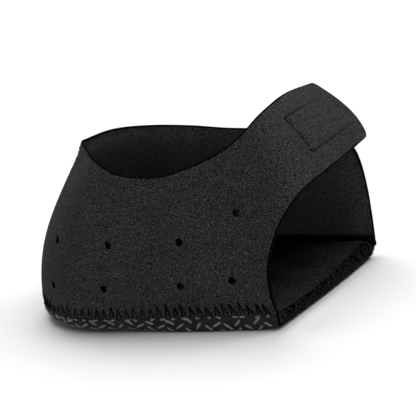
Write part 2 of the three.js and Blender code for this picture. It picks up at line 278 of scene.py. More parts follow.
def column(points, row, corner=None, crease=False):
    """A cubic curve through one column of rows. A row's slope is half the step between its neighbours,
    one-sided at a corner; at the back it mirrors the next row, or for a crease makes straight for it."""
    points = np.asarray(points, float)
    step = np.diff(points, axis=0)
    slope = np.empty_like(points)
    slope[1:-1] = (points[2:] - points[:-2]) / 2
    slope[-1] = step[-1]
    slope[0] = step[0] if crease else (points[1] - points[1] * (1, -1, 1)) / 2
    leave, arrive = slope[:-1].copy(), slope[1:].copy()
    if corner is not None:
        leave[corner] = step[corner]
        arrive[corner - 1] = step[corner - 1]
    k = np.clip(np.floor(row).astype(int), 0, len(step) - 1)
    u = (row - k)[..., None]
    return (points[k] * (1 + 2 * u) * (1 - u) ** 2 + leave[k] * u * (1 - u) ** 2
            + points[k + 1] * u * u * (3 - 2 * u) + arrive[k] * u * u * (u - 1))


class SidePanel:
    """One panel's outer face over row, round the heel and on to the strap, and height, 0 to 1."""

    def __init__(self, side, free_edge, top, belly):
        places = side * (SEWN_PLACES + 1e-9)  # the first place too then has the panel's sign
        seam = np.column_stack([sole_edge(places), np.full(len(places), SEAM_HEIGHT)])
        self.side = side
        self.low = np.vstack([seam, free_edge])
        self.top = np.array(top, float)
        self.belly = np.column_stack([belly, np.zeros((len(belly), 2))])
        self.last = len(belly) - 1

    def face(self, row, height):
        """The straight section from lower to top edge, plus a belly: a sagging parabola that stands
        out square to the section and to the panel's run."""
        foot = column(self.low, row, corner=CORNER_ROW)
        chord = column(self.top, row, crease=True) - foot
        spine = (self.low + self.top) / 2
        run = column(spine, np.minimum(row + 0.02, self.last)) - column(spine, np.maximum(row - 0.02, 0))
        run = np.where((row < 0.02)[..., None], (0, self.side, 0), run)
        out = unit(np.cross(run, chord)) * -self.side
        rise = 4 * height * (1 - height) * (1 + SAG * (1 - 2 * height)) * column(self.belly, row)[..., 0]
        return foot + height[..., None] * chord + rise[..., None] * out

    def outward(self, row, height):
        """The face's direction out of the cup, from its two small steps."""
        along = (self.face(np.minimum(row + 0.01, self.last), height)
                 - self.face(np.maximum(row - 0.01, 0), height))
        upward = (self.face(row, np.minimum(height + 0.01, 1))
                  - self.face(row, np.maximum(height - 0.01, 0)))
        return unit(np.cross(along, upward)) * -self.side

    def sewn_row(self, distance):
        """The row at a distance along the sewn lower edge from the back."""
        rows = np.linspace(0, CORNER_ROW, 1200)
        return np.interp(distance, running_length(column(self.low, rows, corner=CORNER_ROW)), rows)

    def section_length(self, row):
        """Length of a row's section, along its curve."""
        heights = np.linspace(0, 1, 33)
        rows = np.broadcast_to(np.asarray(row)[..., None], np.shape(row) + heights.shape)
        section = self.face(rows, np.broadcast_to(heights, rows.shape))
        return running_length(section, axis=rows.ndim - 1)[..., -1]


STRAP = SidePanel(NEAR, STRAP_FREE_EDGE, STRAP_TOP, STRAP_BELLY)
LANDING = SidePanel(FAR, LANDING_FREE_EDGE, LANDING_TOP, LANDING_BELLY)


def link(name, mesh, materials, replaces=()):
    """Puts a mesh into the scene as a piece of the object, riding on the row's one body."""
    for material in materials:
        mesh.materials.append(material)
    piece = bpy.data.objects.new(name, mesh)
    bpy.context.scene.collection.objects.link(piece)
    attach(piece, "root")
    if replaces:
        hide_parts(*replaces)
    return piece


def crisp(mesh, sharp=50):
    """Shades a mesh smooth, apart from edges that turn by more degrees than the sharp angle."""
    mesh.shade_smooth()
    mesh.set_sharp_from_angle(angle=math.radians(sharp))


def mesh_of(name, points, faces, uv=None, finish=None, sharp=50):
    """A mesh from points in millimetres and a list of faces, with an optional UV per point and a
    material number per face. Edges that turn more than the sharp angle stay crisp."""
    mesh = bpy.data.meshes.new(name)
    mesh.from_pydata(to_row(points).tolist(), [], faces)
    if uv is not None:
        corner = np.empty(len(mesh.loops), np.int32)
        mesh.loops.foreach_get("vertex_index", corner)
        layer = mesh.uv_layers.new(name="Cloth")
        layer.data.foreach_set("uv", (uv[corner] * MM).astype(np.float32).ravel())
    if finish is not None:
        mesh.polygons.foreach_set("material_index", np.asarray(finish, np.int32))
    crisp(mesh, sharp)
    mesh.update()
    return mesh


def grid_faces(across, up, first=0, turned=False):
    """Quads over a grid of points numbered row by row."""
    i, j = np.meshgrid(np.arange(across - 1), np.arange(up - 1), indexing="ij")
    a = first + i * up + j
    quads = np.stack([a, a + up, a + up + 1, a + 1], axis=-1).reshape(-1, 4)
    return quads[:, ::-1] if turned else quads


def bundle_faces(count, rings, spokes):
    """Faces of a bundle of like tubes, each a run of rings, with a flat face on each end."""
    k, n, s = np.meshgrid(np.arange(count), np.arange(rings - 1), np.arange(spokes), indexing="ij")
    base = (k * rings + n) * spokes
    turn = (s + 1) % spokes
    quads = np.stack([base + s, base + turn, base + spokes + turn, base + spokes + s], axis=-1)
    start = np.arange(count)[:, None] * rings * spokes
    caps = np.vstack([start + np.arange(spokes)[::-1], start + (rings - 1) * spokes + np.arange(spokes)])
    return quads.reshape(-1, 4).tolist() + caps.tolist()


def sheet_faces(across, tall, turned=False):
    """Faces of a closed sheet with two like grids as its outer and inner layer: first the outer grid's,
    then the inner one's, then the band's round their rims."""
    size = across * tall
    number = np.arange(size).reshape(across, tall)
    rim = np.concatenate([number[:, 0], number[-1, 1:], number[-2::-1, -1], number[0, -2:0:-1]])
    ahead = np.roll(rim, -1)
    band = np.stack([rim + size, ahead + size, ahead, rim], axis=-1)
    return np.vstack([
        grid_faces(across, tall, 0, turned),
        grid_faces(across, tall, size, not turned),
        band[:, ::-1] if turned else band,
    ])


def bundle(name, rings, sharp=60):
    """A mesh of like closed tubes from an array of points: tube, ring, spoke, coordinate."""
    count, along, spokes = rings.shape[:3]
    return mesh_of(name, rings.reshape(-1, 3), bundle_faces(count, along, spokes), sharp=sharp)


def thread(path, outward, radius, spokes=6):
    """A round profile carried along paths: at each point a ring in the plane of the given outward
    direction and the direction across it and the path."""
    tangent = unit(np.gradient(path, axis=-2))
    across = unit(np.cross(tangent, outward))
    out = np.cross(across, tangent)
    turn = np.arange(spokes) * 2 * math.pi / spokes
    spoke = out[..., None, :] * np.cos(turn)[:, None] + across[..., None, :] * np.sin(turn)[:, None]
    return path[..., None, :] + spoke * np.asarray(radius)[..., None, None]


def faced_outwards(mesh, merge=0.0):
    """Merges a mesh's points that lie within so many metres of each other and turns its faces outwards."""
    work = bmesh.new()
    work.from_mesh(mesh)
    if merge:
        bmesh.ops.remove_doubles(work, verts=work.verts, dist=merge)
    bmesh.ops.recalc_face_normals(work, faces=work.faces)
    work.to_mesh(mesh)
    work.free()
    return mesh


def closed_mesh(name, points, faces, uv=None, finish=None):
    """A mesh whose coincident points are merged and whose faces are then turned outwards."""
    mesh = faced_outwards(mesh_of(name, points, faces, uv=uv, finish=finish), merge=SAME_PLACE)
    crisp(mesh)
    return mesh


def baked(piece):
    """Works a piece's modifiers into its mesh."""
    graph = bpy.context.evaluated_depsgraph_get()
    mesh = bpy.data.meshes.new_from_object(piece.evaluated_get(graph))
    old = piece.data
    piece.modifiers.clear()
    piece.data = mesh
    bpy.data.meshes.remove(old)
    mesh.name = piece.name


ONE_RIB = 0.31416  # the scale at which a wave texture repeats once in a unit of length


class Finish:
    """A node material: the principled shader plus the nodes that give a surface its grain."""

    def __init__(self, name, specular, roughness=0.9, sheen=0.0):
        self.material = bpy.data.materials.new(name)
        self.material.use_nodes = True
        self.tree = self.material.node_tree
        self.shader = self.tree.nodes["Principled BSDF"]
        self.shader.inputs["Roughness"].default_value = roughness
        self.shader.inputs["Sheen Weight"].default_value = sheen
        self.shader.inputs["Sheen Roughness"].default_value = 0.45
        self.shader.inputs["Specular IOR Level"].default_value = specular

    def node(self, kind, inputs=None, **settings):
        """Adds a node; an input, by its name or number, is a value or another node's output."""
        made = self.tree.nodes.new(kind)
        for key, value in settings.items():
            setattr(made, key, value)
        for key, value in (inputs or {}).items():
            if isinstance(value, bpy.types.NodeSocket):
                self.tree.links.new(value, made.inputs[key])
            else:
                made.inputs[key].default_value = value
        return made

    def place(self, kind="Object", scale=(1000, 1000, 1000), turn=0.0):
        """Coordinates in millimetres, on the object or along its cloth."""
        source = self.node("ShaderNodeTexCoord").outputs[kind]
        return self.node("ShaderNodeMapping", {
            "Vector": source, "Scale": scale, "Rotation": (0, 0, turn),
        }).outputs["Vector"]

    def axis(self, place, letter):
        """One coordinate of a place."""
        return self.node("ShaderNodeSeparateXYZ", {"Vector": place}).outputs[letter]

    def noise(self, place, scale, detail=2.0, roughness=0.5):
        """A noise of about so many lumps to the millimetre."""
        return self.node("ShaderNodeTexNoise", {
            "Vector": place, "Scale": scale, "Detail": detail, "Roughness": roughness,
        }).outputs["Fac"]

    def bands(self, place, pitch, distortion):
        """Parallel ribs, so many millimetres apart."""
        return self.node("ShaderNodeTexWave", {
            "Vector": place, "Scale": ONE_RIB / pitch, "Distortion": distortion,
            "Detail": 2.0, "Detail Scale": 2.0,
        }).outputs["Fac"]

    def lint(self, cloth):
        """How far a spot lies under a speck of lint: few small dots over the cloth, some fainter."""
        cells = self.node("ShaderNodeTexVoronoi", {"Vector": cloth, "Scale": 0.14}, voronoi_dimensions="2D")
        dot = self.spread(cells.outputs["Distance"], 0.012, 0.04, 1.0, 0.0)
        some = self.node("ShaderNodeSeparateColor", {"Color": cells.outputs["Color"]}).outputs[0]
        return self.math("MULTIPLY", dot, self.spread(some, 0.45, 1.0, 0.0, 0.7))

    def math(self, operation, a, b):
        """One sum or product of two values."""
        return self.node("ShaderNodeMath", {0: a, 1: b}, operation=operation).outputs[0]

    def spread(self, value, low, high, to_low, to_high):
        """A value stretched from one range to another, and held there."""
        return self.node("ShaderNodeMapRange", {
            "Value": value, "From Min": low, "From Max": high, "To Min": to_low, "To Max": to_high,
        }).outputs["Result"]

    def ramp(self, value, *stops):
        """Colours along a value."""
        made = self.node("ShaderNodeValToRGB", {"Fac": value})
        elements = made.color_ramp.elements
        while len(elements) < len(stops):
            elements.new(0.5)
        for element, (position, colour) in zip(elements, stops):
            element.position = position
            element.color = (*colour, 1)
        return made.outputs["Color"]

    def mix(self, factor, a, b, blend="MIX"):
        """Two colours mixed by a factor."""
        return self.node(
            "ShaderNodeMix", {0: factor, 6: a, 7: b}, data_type="RGBA", blend_type=blend).outputs[2]

    def colour(self, socket):
        """Gives the shader its colour."""
        self.tree.links.new(socket, self.shader.inputs["Base Color"])

    def rough(self, socket):
        """Gives the shader its roughness."""
        self.tree.links.new(socket, self.shader.inputs["Roughness"])

    def bump(self, height, depth, strength):
        """Raises the surface by a height of so many millimetres."""
        made = self.node("ShaderNodeBump", {"Height": height, "Distance": depth * MM, "Strength": strength})
        self.tree.links.new(made.outputs["Normal"], self.shader.inputs["Normal"])


def shade(colour, factor):
    """A colour made darker or lighter."""
    return tuple(channel * factor for channel in colour)


def jersey_finish(colour):
    """Brushed jersey on the outside: mottled fibre clumps over fine knitted ribs."""
    made = Finish("brushed_jersey", specular=0.05)
    place = made.place()
    cloth = made.place("UV")
    clumps = made.noise(place, 3.3, 1.0, 0.5)
    fibre = made.noise(place, 6.0, 1.0, 0.5)
    cloud = made.noise(place, 0.06, 2.0)
    ribs = made.bands(cloth, 0.75, 3.0)
    grain = made.math("ADD", made.math("MULTIPLY", clumps, 0.7), made.math("MULTIPLY", fibre, 0.3))
    base = made.ramp(
        grain, (0.385, shade(colour, 0.03)), (0.5, shade(colour, 0.78)), (0.63, shade(colour, 4.5)))
    made.colour(made.mix(made.spread(cloud, 0.35, 0.65, 0.0, 0.2), base, (*shade(colour, 0.7), 1)))
    made.rough(made.spread(fibre, 0.3, 0.7, 0.82, 0.97))
    made.bump(made.math("ADD", grain, made.math("MULTIPLY", ribs, 0.18)), 0.35, 0.7)
    return made.material


def lining_finish(colour):
    """Smooth lining: fine knit, faint wear, painted light that makes it paler towards the top, with specks
    of lint.
    """
    made = Finish("smooth_lining", sheen=0.02, specular=0.1)
    place = made.place()
    cloth = made.place("UV")
    fine = made.noise(place, 2.2, 1.0, 0.5)
    wear = made.noise(place, 0.09, 3.0)
    ribs = made.bands(cloth, 0.6, 2.0)
    # painted light: the lining's colour grows paler from 42 to 60 mm up, where more light falls
    painted_light_at_top = made.spread(made.axis(place, "Z"), 42, 60, 0.0, 1.0)
    low = made.ramp(fine, (0.34, shade(colour, 0.3)), (0.66, shade(colour, 1.9)))
    high = made.ramp(fine, (0.34, shade(colour, 0.5)), (0.66, shade(colour, 3.6)))
    base = made.mix(painted_light_at_top, low, high)
    # faint random wear mixed over the colour that carries the painted light
    painted_light_and_wear = made.mix(made.spread(wear, 0.4, 0.7, 0.0, 0.25), base, (*shade(colour, 1.3), 1))
    made.colour(made.mix(made.lint(cloth), painted_light_and_wear, (0.2, 0.2, 0.195, 1)))
    made.rough(made.spread(wear, 0.3, 0.7, 0.95, 0.8))
    made.bump(made.math("ADD", fine, made.math("MULTIPLY", ribs, 0.3)), 0.14, 0.6)
    return made.material


def insole_finish(colour):
    """Cloth over the cushion: speckled fine knit with lint, and painted shade that makes it near black
    inside and paler at the front, the pale part reaching a little further back on the far side."""
    made = Finish("insole_cloth", specular=0.01)
    place = made.place()
    fine = made.noise(made.place("Object", (1000, 500, 1000)), 2.4, 1.0, 0.5)
    smear = made.noise(place, 0.1, 3.0)
    # painted shade: how far ahead a spot lies, plus up to 4 mm more on the far side, sets how dark it is
    # painted
    ahead = made.math("ADD", made.axis(place, "X"), made.spread(made.axis(place, "Y"), 10, 32, 0.0, 4.0))
    # that place for the painted shade, jittered by the random smear
    painted_light_and_wear = made.math("ADD", ahead, made.spread(smear, 0.3, 0.7, -3.0, 3.0))
    # painted shade: near black deep in the cup, paler towards the front edge
    painted_shade_tone = made.ramp(
        made.spread(painted_light_and_wear, 10, 60, 0.0, 1.0), (0.0, shade(colour, 0.03)), (0.4, shade(colour, 0.055)),
        (0.52, shade(colour, 0.12)), (0.63, shade(colour, 0.3)), (0.75, shade(colour, 0.6)),
        (0.86, shade(colour, 0.87)), (0.96, colour))
    speckled = made.mix(1.0, painted_shade_tone, made.ramp(fine, (0.33, (0.2,) * 3), (0.67, (1.9,) * 3)), "MULTIPLY")
    made.colour(made.mix(made.lint(made.place("UV")), speckled, (0.15, 0.15, 0.145, 1)))
    made.rough(made.spread(smear, 0.3, 0.7, 0.95, 0.82))
    made.bump(fine, 0.14, 0.6)
    return made.material


def foam_finish(colour):
    """Cut edge of the foam: black, with fine open cells."""
    made = Finish("foam_edge", specular=0.03)
    place = made.place()
    cells = made.node("ShaderNodeTexVoronoi", {"Vector": place, "Scale": 3.5}).outputs["Distance"]
    soot = made.noise(place, 0.7, 3.0)
    made.colour(made.ramp(soot, (0.3, shade(colour, 0.7)), (0.7, shade(colour, 1.5))))
    made.rough(made.spread(cells, 0.0, 0.8, 0.98, 0.85))
    made.bump(cells, 0.12, 0.7)
    return made.material


def thread_finish(colour):
    """Sewing thread: dark plies with a faint gloss."""
    made = Finish("sewing_thread", roughness=0.8, specular=0.04)
    place = made.place()
    plies = made.bands(made.place(turn=0.6), 0.28, 1.0)
    dust = made.noise(place, 0.8, 2.0)
    made.colour(made.ramp(dust, (0.35, shade(colour, 0.7)), (0.7, shade(colour, 1.6))))
    made.rough(made.spread(dust, 0.3, 0.7, 0.7, 0.9))
    made.bump(plies, 0.08, 0.6)
    return made.material


def tread_cloth_finish(colour):
    """Woven cloth of the sole: plain weave of two crossing sets of threads."""
    made = Finish("tread_cloth", sheen=0.02, specular=0.12)
    place = made.place()
    warp = made.bands(made.place(turn=0.785), 0.55, 0.6)
    weft = made.bands(made.place(turn=-0.785), 0.55, 0.6)
    weave = made.math("MAXIMUM", warp, weft)
    dirt = made.noise(place, 0.22, 3.0)
    base = made.ramp(weave, (0.3, shade(colour, 0.55)), (0.9, shade(colour, 1.3)))
    made.colour(made.mix(made.spread(dirt, 0.45, 0.75, 0.0, 0.35), base, (*shade(colour, 1.9), 1)))
    made.rough(made.spread(dirt, 0.3, 0.7, 0.8, 0.95))
    made.bump(weave, 0.2, 0.8)
    return made.material


def grip_finish(colour):
    """Rubbery grip dashes: grey, scuffed and a little dusty."""
    made = Finish("grip_dash", roughness=0.6, specular=0.25)
    place = made.place()
    scuff = made.noise(place, 0.9, 4.0, 0.65)
    patch = made.noise(place, 0.12, 2.0)
    base = made.ramp(scuff, (0.3, shade(colour, 0.6)), (0.55, colour), (0.75, shade(colour, 1.3)))
    made.colour(made.mix(made.spread(patch, 0.4, 0.65, 0.0, 0.55), base, (*shade(colour, 0.55), 1)))
    made.rough(made.spread(scuff, 0.3, 0.7, 0.5, 0.8))
    made.bump(scuff, 0.12, 0.6)
    return made.material


def pile_finish(colour):
    """Short matted pile: paler fibre ends with black clumps, most of them along the top."""
    made = Finish("matted_pile", specular=0.03)
    place = made.place()
    clump = made.noise(place, 0.7, 2.0, 0.6)
    tips = made.noise(place, 1.8, 1.0)
    high = made.spread(made.axis(place, "Z"), 2, 6.5, 0.1, -0.06)
    black = made.spread(made.math("ADD", clump, high), 0.45, 0.5, 1.0, 0.0)
    base = made.ramp(tips, (0.36, shade(colour, 0.25)), (0.64, shade(colour, 4.2)))
    made.colour(made.mix(black, base, (*shade(colour, 0.04), 1)))
    made.rough(made.spread(clump, 0.3, 0.7, 0.98, 0.85))
    made.bump(made.math("ADD", clump, tips), 0.4, 0.8)
    return made.material


def hook_finish(colour):
    """Hook tape: black nylon, slightly glossy, with a woven ground."""
    made = Finish("hook_tape", roughness=0.5, specular=0.45)
    place = made.place()
    weave = made.bands(place, 0.5, 0.4)
    scuff = made.noise(place, 0.8, 2.0)
    made.colour(made.ramp(scuff, (0.3, shade(colour, 0.7)), (0.7, shade(colour, 1.5))))
    made.rough(made.spread(scuff, 0.3, 0.7, 0.42, 0.65))
    made.bump(weave, 0.1, 0.5)
    return made.material


def floor_finish(colour):
    """Pale studio floor with the faintest mottle."""
    made = Finish("studio_floor", roughness=0.85, specular=0.1)
    place = made.place("Object", (1, 1, 1))
    mottle = made.noise(place, 3.0, 2.0)
    made.colour(made.ramp(mottle, (0.3, shade(colour, 0.995)), (0.7, colour)))
    made.bump(mottle, 0.2, 0.02)
    return made.material


def finishes():
    """Every material of the object, made once from the chosen colours."""
    colours = bpy.context.scene.heel_colours
    makers = {
        "brushed_jersey": (jersey_finish, colours.jersey),
        "smooth_lining": (lining_finish, colours.lining),
        "insole_cloth": (insole_finish, colours.insole),
        "foam_edge": (foam_finish, colours.foam),
        "sewing_thread": (thread_finish, colours.thread),
        "tread_cloth": (tread_cloth_finish, colours.tread),
        "grip_dash": (grip_finish, colours.grip),
        "matted_pile": (pile_finish, colours.pile),
        "hook_tape": (hook_finish, colours.hook),
    }
    return {
        name: bpy.data.materials.get(name) or make(tuple(colour))
        for name, (make, colour) in makers.items()
    }


def spaced_rows(panel, first, last, step):
    """Rows a step apart along the panel's middle line, with both ends kept."""
    rows = np.linspace(first, last, 900)
    length = running_length(panel.face(rows, np.full(rows.shape, 0.5)))
    count = int(round(length[-1] / step)) + 1
    return np.interp(np.linspace(0, length[-1], count), length, rows)


def crowded(reach, count):
    """Steps from 0 to a reach, crowded at 0 as along a quarter circle."""
    return reach * (1 - np.cos(np.linspace(0, math.pi / 2, count)))


def edge_crowded(count, crowd, first, last):
    """Parts from 0 to 1, crowded within a first reach of 0 and a last reach of 1 as along a quarter
    circle."""
    first, last = np.asarray(first, float)[..., None], np.asarray(last, float)[..., None]
    arc = crowded(1, crowd + 1)
    middle = first + (1 - first - last) * np.linspace(0, 1, count)[1:-1]
    return np.concatenate([first * arc, middle, 1 - last * arc[::-1]], axis=-1)


def foot_slant(panel, rows):
    """Sine of the angle between each row's section and the free lower edge; sewn rows take the first
    free one's."""
    rows = np.clip(rows, CORNER_ROW + 0.01, panel.last - 0.02)
    foot = column(panel.low, rows, corner=CORNER_ROW)
    run = unit(column(panel.low, rows + 0.02, corner=CORNER_ROW) - foot)
    section = unit(panel.face(rows, np.full(rows.shape, 0.02)) - foot)
    return np.sqrt(1 - np.minimum((run * section).sum(axis=-1) ** 2, 0.95))


def cut_widths(panel, rows):
    """Reach along the sections of the black line at a panel's lower and top edge. The line's width is
    square to the edge, so on the lower one it is divided by the sine of the section's slant; it fades
    at the tab's free end."""
    slant = foot_slant(panel, rows)
    if panel.side == FAR:
        return FAR_LINE / slant, np.full(rows.shape, FAR_LINE)
    return np.interp(rows, *LOW_LINE.T) / slant, np.interp(rows, *TOP_LINE.T)


def tab_narrowing(panel, rows):
    """How far each row's section is drawn in at both ends: a quarter circle at the strap's free end."""
    length = np.linalg.norm(panel.low[-1] - panel.low[-2])
    width = np.linalg.norm(panel.low[-1] - panel.top[-1])
    into = np.maximum(TAB_CORNER - (panel.last - rows) * length, 0)
    return (TAB_CORNER - np.sqrt(np.maximum(TAB_CORNER ** 2 - into ** 2, 0))) / width


def tab_seam_path(count):
    """The tab's sewn rectangle as (row, height): its four sides, corner to corner."""
    along = np.linspace(0, 4, count, endpoint=False)
    k = along.astype(int)
    part = (along - k)[:, None]
    return TAB_SEAM[k] * (1 - part) + TAB_SEAM[(k + 1) % 4] * part


def tab_seam_pull(count):
    """How hard the tab's seam is pulled in along its four sides: least at the free end."""
    along = np.linspace(0, 4, count, endpoint=False)
    return np.interp(along, *TAB_PULL.T)


def near_dents(points, centres, depth, reach):
    """Round dents: the nearest centre's depth times a bell of the distance to it."""
    gap = np.linalg.norm(points[..., None, :] - centres, axis=-1)
    depth = np.broadcast_to(depth, len(centres))[gap.argmin(axis=-1)]
    return depth * np.exp(-(gap.min(axis=-1) / reach) ** 2)


def seam_press(up):
    """The pressed band over the sewn foot: a bell of the distance up from the foot."""
    return np.exp(-((up - SEAM_PRESS_LEVEL) / SEAM_PRESS_REACH) ** 2)


def panel_relief(panel, rows, heights, face, along, up):
    """How far the outer cloth stands off its even face: slow swells, a dent round each hole, a pressed
    band at the sewn foot and, on the strap, the groove of the tab's seam and the swell inside it."""
    relief = CLOTH_SWELL * waves(along, up, CLOTH_SWELL_LENGTH, 3 if panel.side == NEAR else 5)
    holes = HOLES if panel.side == NEAR else HOLES[:LANDING_HOLES]
    relief -= near_dents(face, panel.face(holes[:, 0], holes[:, 1]), HOLE_DENT, HOLE_DENT_REACH)
    relief -= SEAM_PRESS * seam_press(up) * (rows < CORNER_ROW + 0.1)
    if panel.side == NEAR:
        tab = rows[:, 0] > TAB_ROW - 0.2
        path = tab_seam_path(280)
        depth = TAB_GROOVE * tab_seam_pull(len(path))
        relief[tab] -= near_dents(face[tab], panel.face(path[:, 0], path[:, 1]), depth, TAB_GROOVE_REACH)
        spot = np.stack([rows, heights], axis=-1)
        side = np.roll(TAB_SEAM, -1, axis=0) - TAB_SEAM
        reach = spot[..., None, :] - TAB_SEAM
        inside = (side[:, 0] * reach[..., 1] - side[:, 1] * reach[..., 0]).min(axis=-1)
        relief += TAB_PUFF * np.clip(inside / 0.12, 0, 1)
    return relief


def back_flare(rows, below):
    """How far the back seam's top end stands out: a bell over the row and the distance below the top."""
    return BACK_FLARE * np.exp(-(rows / BACK_FLARE_ROWS) ** 2 - (below / BACK_FLARE_DROP) ** 2)


def panel_columns(panel):
    """The rows where a panel's sections are drawn: less than a millimetre apart, and crowded at its back
    edge, at the corner where it leaves the sole and at its free end."""
    free = [(CORNER_ROW, panel.last, 0.8)]
    end = panel.last - crowded(0.05, 6)[::-1]
    if panel.side == NEAR:
        free = [(CORNER_ROW, TAB_ROW, 0.8), (TAB_ROW, panel.last, 0.45)]
        end = panel.last - crowded(0.086, 10)[::-1]
    sewn = [spaced_rows(panel, 0, CORNER_ROW - 0.05, 0.9), CORNER_ROW - np.array([0.035, 0.02, 0.01, 0])]
    columns = np.concatenate(sewn + [spaced_rows(panel, *stretch)[1:] for stretch in free])
    back = crowded(0.045, 5)
    between = (columns > back[-1] + 0.01) & (columns < end[0] - 0.01)
    return np.concatenate([back, columns[between], end])


def panel_mesh(name, panel, wall):
    """A panel as a closed sheet. The middle layer is the face set in by half the wall; the two cloth
    faces lie half a thickness off it, and that half shrinks along a quarter circle at every edge. The
    inner face is pared towards the free edges."""
    columns = panel_columns(panel)
    length = panel.section_length(columns)
    parts = edge_crowded(
        PANEL_CELLS, EDGE_CELLS, *(width / length for width in cut_widths(panel, columns)))
    narrower = tab_narrowing(panel, columns) if panel.side == NEAR else np.zeros(len(columns))
    heights = narrower[:, None] + (1 - 2 * narrower[:, None]) * parts
    tip = np.clip(columns[:, None] - TAB_HOLLOW_ROW, 0, 1)
    rows = columns[:, None] - TAB_HOLLOW * 4 * heights * (1 - heights) * tip ** 2
    face = panel.face(rows, heights)
    out = panel.outward(rows, heights)
    up = running_length(face, axis=1)
    along = running_length(face, axis=0)
    edge = np.minimum(np.minimum(up, up[:, -1:] - up), np.minimum(along, along[-1:] - along))
    inward = np.maximum(EDGE_ROUNDING - edge, 0)
    half = wall / 2 - EDGE_ROUNDING + np.sqrt(EDGE_ROUNDING ** 2 - inward ** 2)
    flare = back_flare(rows, up[:, -1:] - up)
    face = face + flare[..., None] * np.array([-1.0, 0, BACK_FLARE_RISE[panel.side]])
    middle = face - out * wall / 2
    relief = panel_relief(panel, rows, heights, face, along, up)
    behind = np.maximum(CORNER_ROW - rows, 0) * FRONT_ROW + up * foot_slant(panel, columns)[:, None]
    free = np.minimum(np.minimum(behind, up[:, -1:] - up), along[-1:] - along)
    pared = np.exp(-(free / PARING[panel.side]) ** 2)
    outer = middle + out * (half + relief * np.clip(edge / RELIEF_FADE, 0, 1))[..., None]
    inner = middle - out * (half - pared)[..., None]
    inner[..., 2] = np.maximum(inner[..., 2], SEAM_HEIGHT)
    heel = columns < 1
    for layer in (outer, inner):
        layer[heel, :, 1] = panel.side * np.maximum(panel.side * layer[heel, :, 1], GAP / 2)
    across, tall = rows.shape
    faces = sheet_faces(across, tall, turned=panel.side == FAR)
    cell = np.arange(tall - 1)
    opened = np.interp(columns[:-1, None], CORNER_ROW - np.array([0.05, 0.02, 0.001]), [0, 0.6, 1])
    finish = np.full(len(faces), CUT_EDGE)
    layers = ((OUTSIDE, EDGE_CELLS), (INSIDE, INNER_EDGE_CELLS))
    for layer, (look, count) in zip(np.split(finish[:2 * (across - 1) * (tall - 1)], 2), layers):
        cut = (cell < count * opened) | (cell >= tall - 1 - count)
        layer[~cut.ravel()] = look
    uv = np.tile(np.stack([along, up], axis=-1).reshape(-1, 2), (2, 1))
    points = np.vstack([outer.reshape(-1, 3), inner.reshape(-1, 3)])
    return mesh_of(name, points, faces.tolist(), uv=uv, finish=finish)


def hole_punches(name, panel, holes, diameter, depth):
    """Round punches square to the panel: rings of one radius along the outward direction."""
    centre = panel.face(holes[:, 0], holes[:, 1])
    out = panel.outward(holes[:, 0], holes[:, 1])
    reach = np.linspace(-depth, depth, 2)
    path = centre[:, None, :] + out[:, None, :] * reach[None, :, None]
    across = np.repeat(unit(np.cross(out, (0, 0, 1)))[:, None, :], 2, axis=1)
    return bundle(name, thread(path, across, np.full(path.shape[:2], diameter / 2), 28))


def zigzag(panel, pitch, height):
    """One row of the seam's stitches: each rises in a leg to a point, falls in a leg and runs on along
    the seam. The thread lies on the cloth and dips into it at its points."""
    rows = np.linspace(0, CORNER_ROW, 1200)
    total = running_length(column(panel.low, rows, corner=CORNER_ROW))[-1]
    count = int((total - STITCHES_LEFT) / pitch)
    step = np.linspace(0, 1, 20, endpoint=False)
    walk = (np.arange(count)[:, None] + step).ravel()
    phase = walk % 1
    rng = np.random.default_rng(11 if panel.side == NEAR else 12)
    uneven = rng.uniform(-STITCH_UNEVEN, STITCH_UNEVEN, (2, count + 1))
    k = walk.astype(int)
    rise, lean = (np.interp(phase, STITCH[:, 0], STITCH[:, measure]) for measure in (1, 2))
    distance = STITCH_START + (k + lean + uneven[0, k] * rise) * pitch
    climb = -SEAM_SINK + rise * (height + SEAM_SINK) * (1 + uneven[1, k])
    row = panel.sewn_row(distance)
    part = np.maximum(climb, 0) / panel.section_length(row)
    dip = np.interp(phase, *STITCH_DIP.T) - STITCH_PRESS * seam_press(climb)
    out = panel.outward(row, part)
    path = panel.face(row, part) + out * dip[:, None]
    path[:, 2] += np.minimum(climb, 0)
    return path[None], out[None]


def back_line(heights):
    """The back seam's line on the panels' outer faces at given heights, flared at the top."""
    fine = np.linspace(0, 1, 200)
    up = running_length(STRAP.face(np.zeros(200), fine))
    line = STRAP.face(np.zeros(heights.shape), heights)
    line[..., 0] -= back_flare(0, up[-1] - np.interp(heights, fine, up))
    return line


def back_fill(wall):
    """The filling of the back seam: an oval profile, half a wall deep to either side, carried up between
    the panels' back edges."""
    path = back_line(np.linspace(0.004, 0.99, 70))
    across = np.array([0, 1.0, 0])
    inward = np.cross(across, unit(np.gradient(path, axis=0)))
    turn = np.arange(10) * math.pi / 5
    spoke = (np.cos(turn)[:, None] * across * BACK_FILL_HALF
             - np.sin(turn)[:, None] * inward[:, None, :] * (wall / 2 - BACK_FILL_INSET))
    return (path + inward * wall / 2)[None, :, None, :] + spoke[None]


def back_stitches(pitch, reach):
    """The back seam's cross stitches: each leaves one panel, slants over the seam and enters the other."""
    count = int(STRAP.section_length(np.zeros(1))[0] / pitch) - 1
    step = np.linspace(-1, 1, 9)
    rows = np.abs(step) * reach
    middle = (np.arange(count) + 1) / (count + 1)
    lean = np.where(np.arange(count) % 2 == 0, 1, -1) * 0.4 / (count + 1)
    heights = middle[:, None] + lean[:, None] * step
    rows = np.broadcast_to(rows, heights.shape)
    near, far = (panel.face(rows, heights) for panel in (STRAP, LANDING))
    near_out, far_out = (panel.outward(rows, heights) for panel in (STRAP, LANDING))
    side = (step < 0)[None, :, None]
    out = np.where(side, near_out, far_out)
    path = np.where(side, near, far)
    path[:, 4] = back_line(heights[:, 4])
    path[..., 0] -= np.where(np.arange(9) == 4, 0, back_flare(rows, (1 - heights) * count * pitch))
    arch = np.array([-0.5, -0.08, 0.02, 0.03, 0.02, 0.03, 0.02, -0.08, -0.5])
    return path + out * arch[None, :, None], out


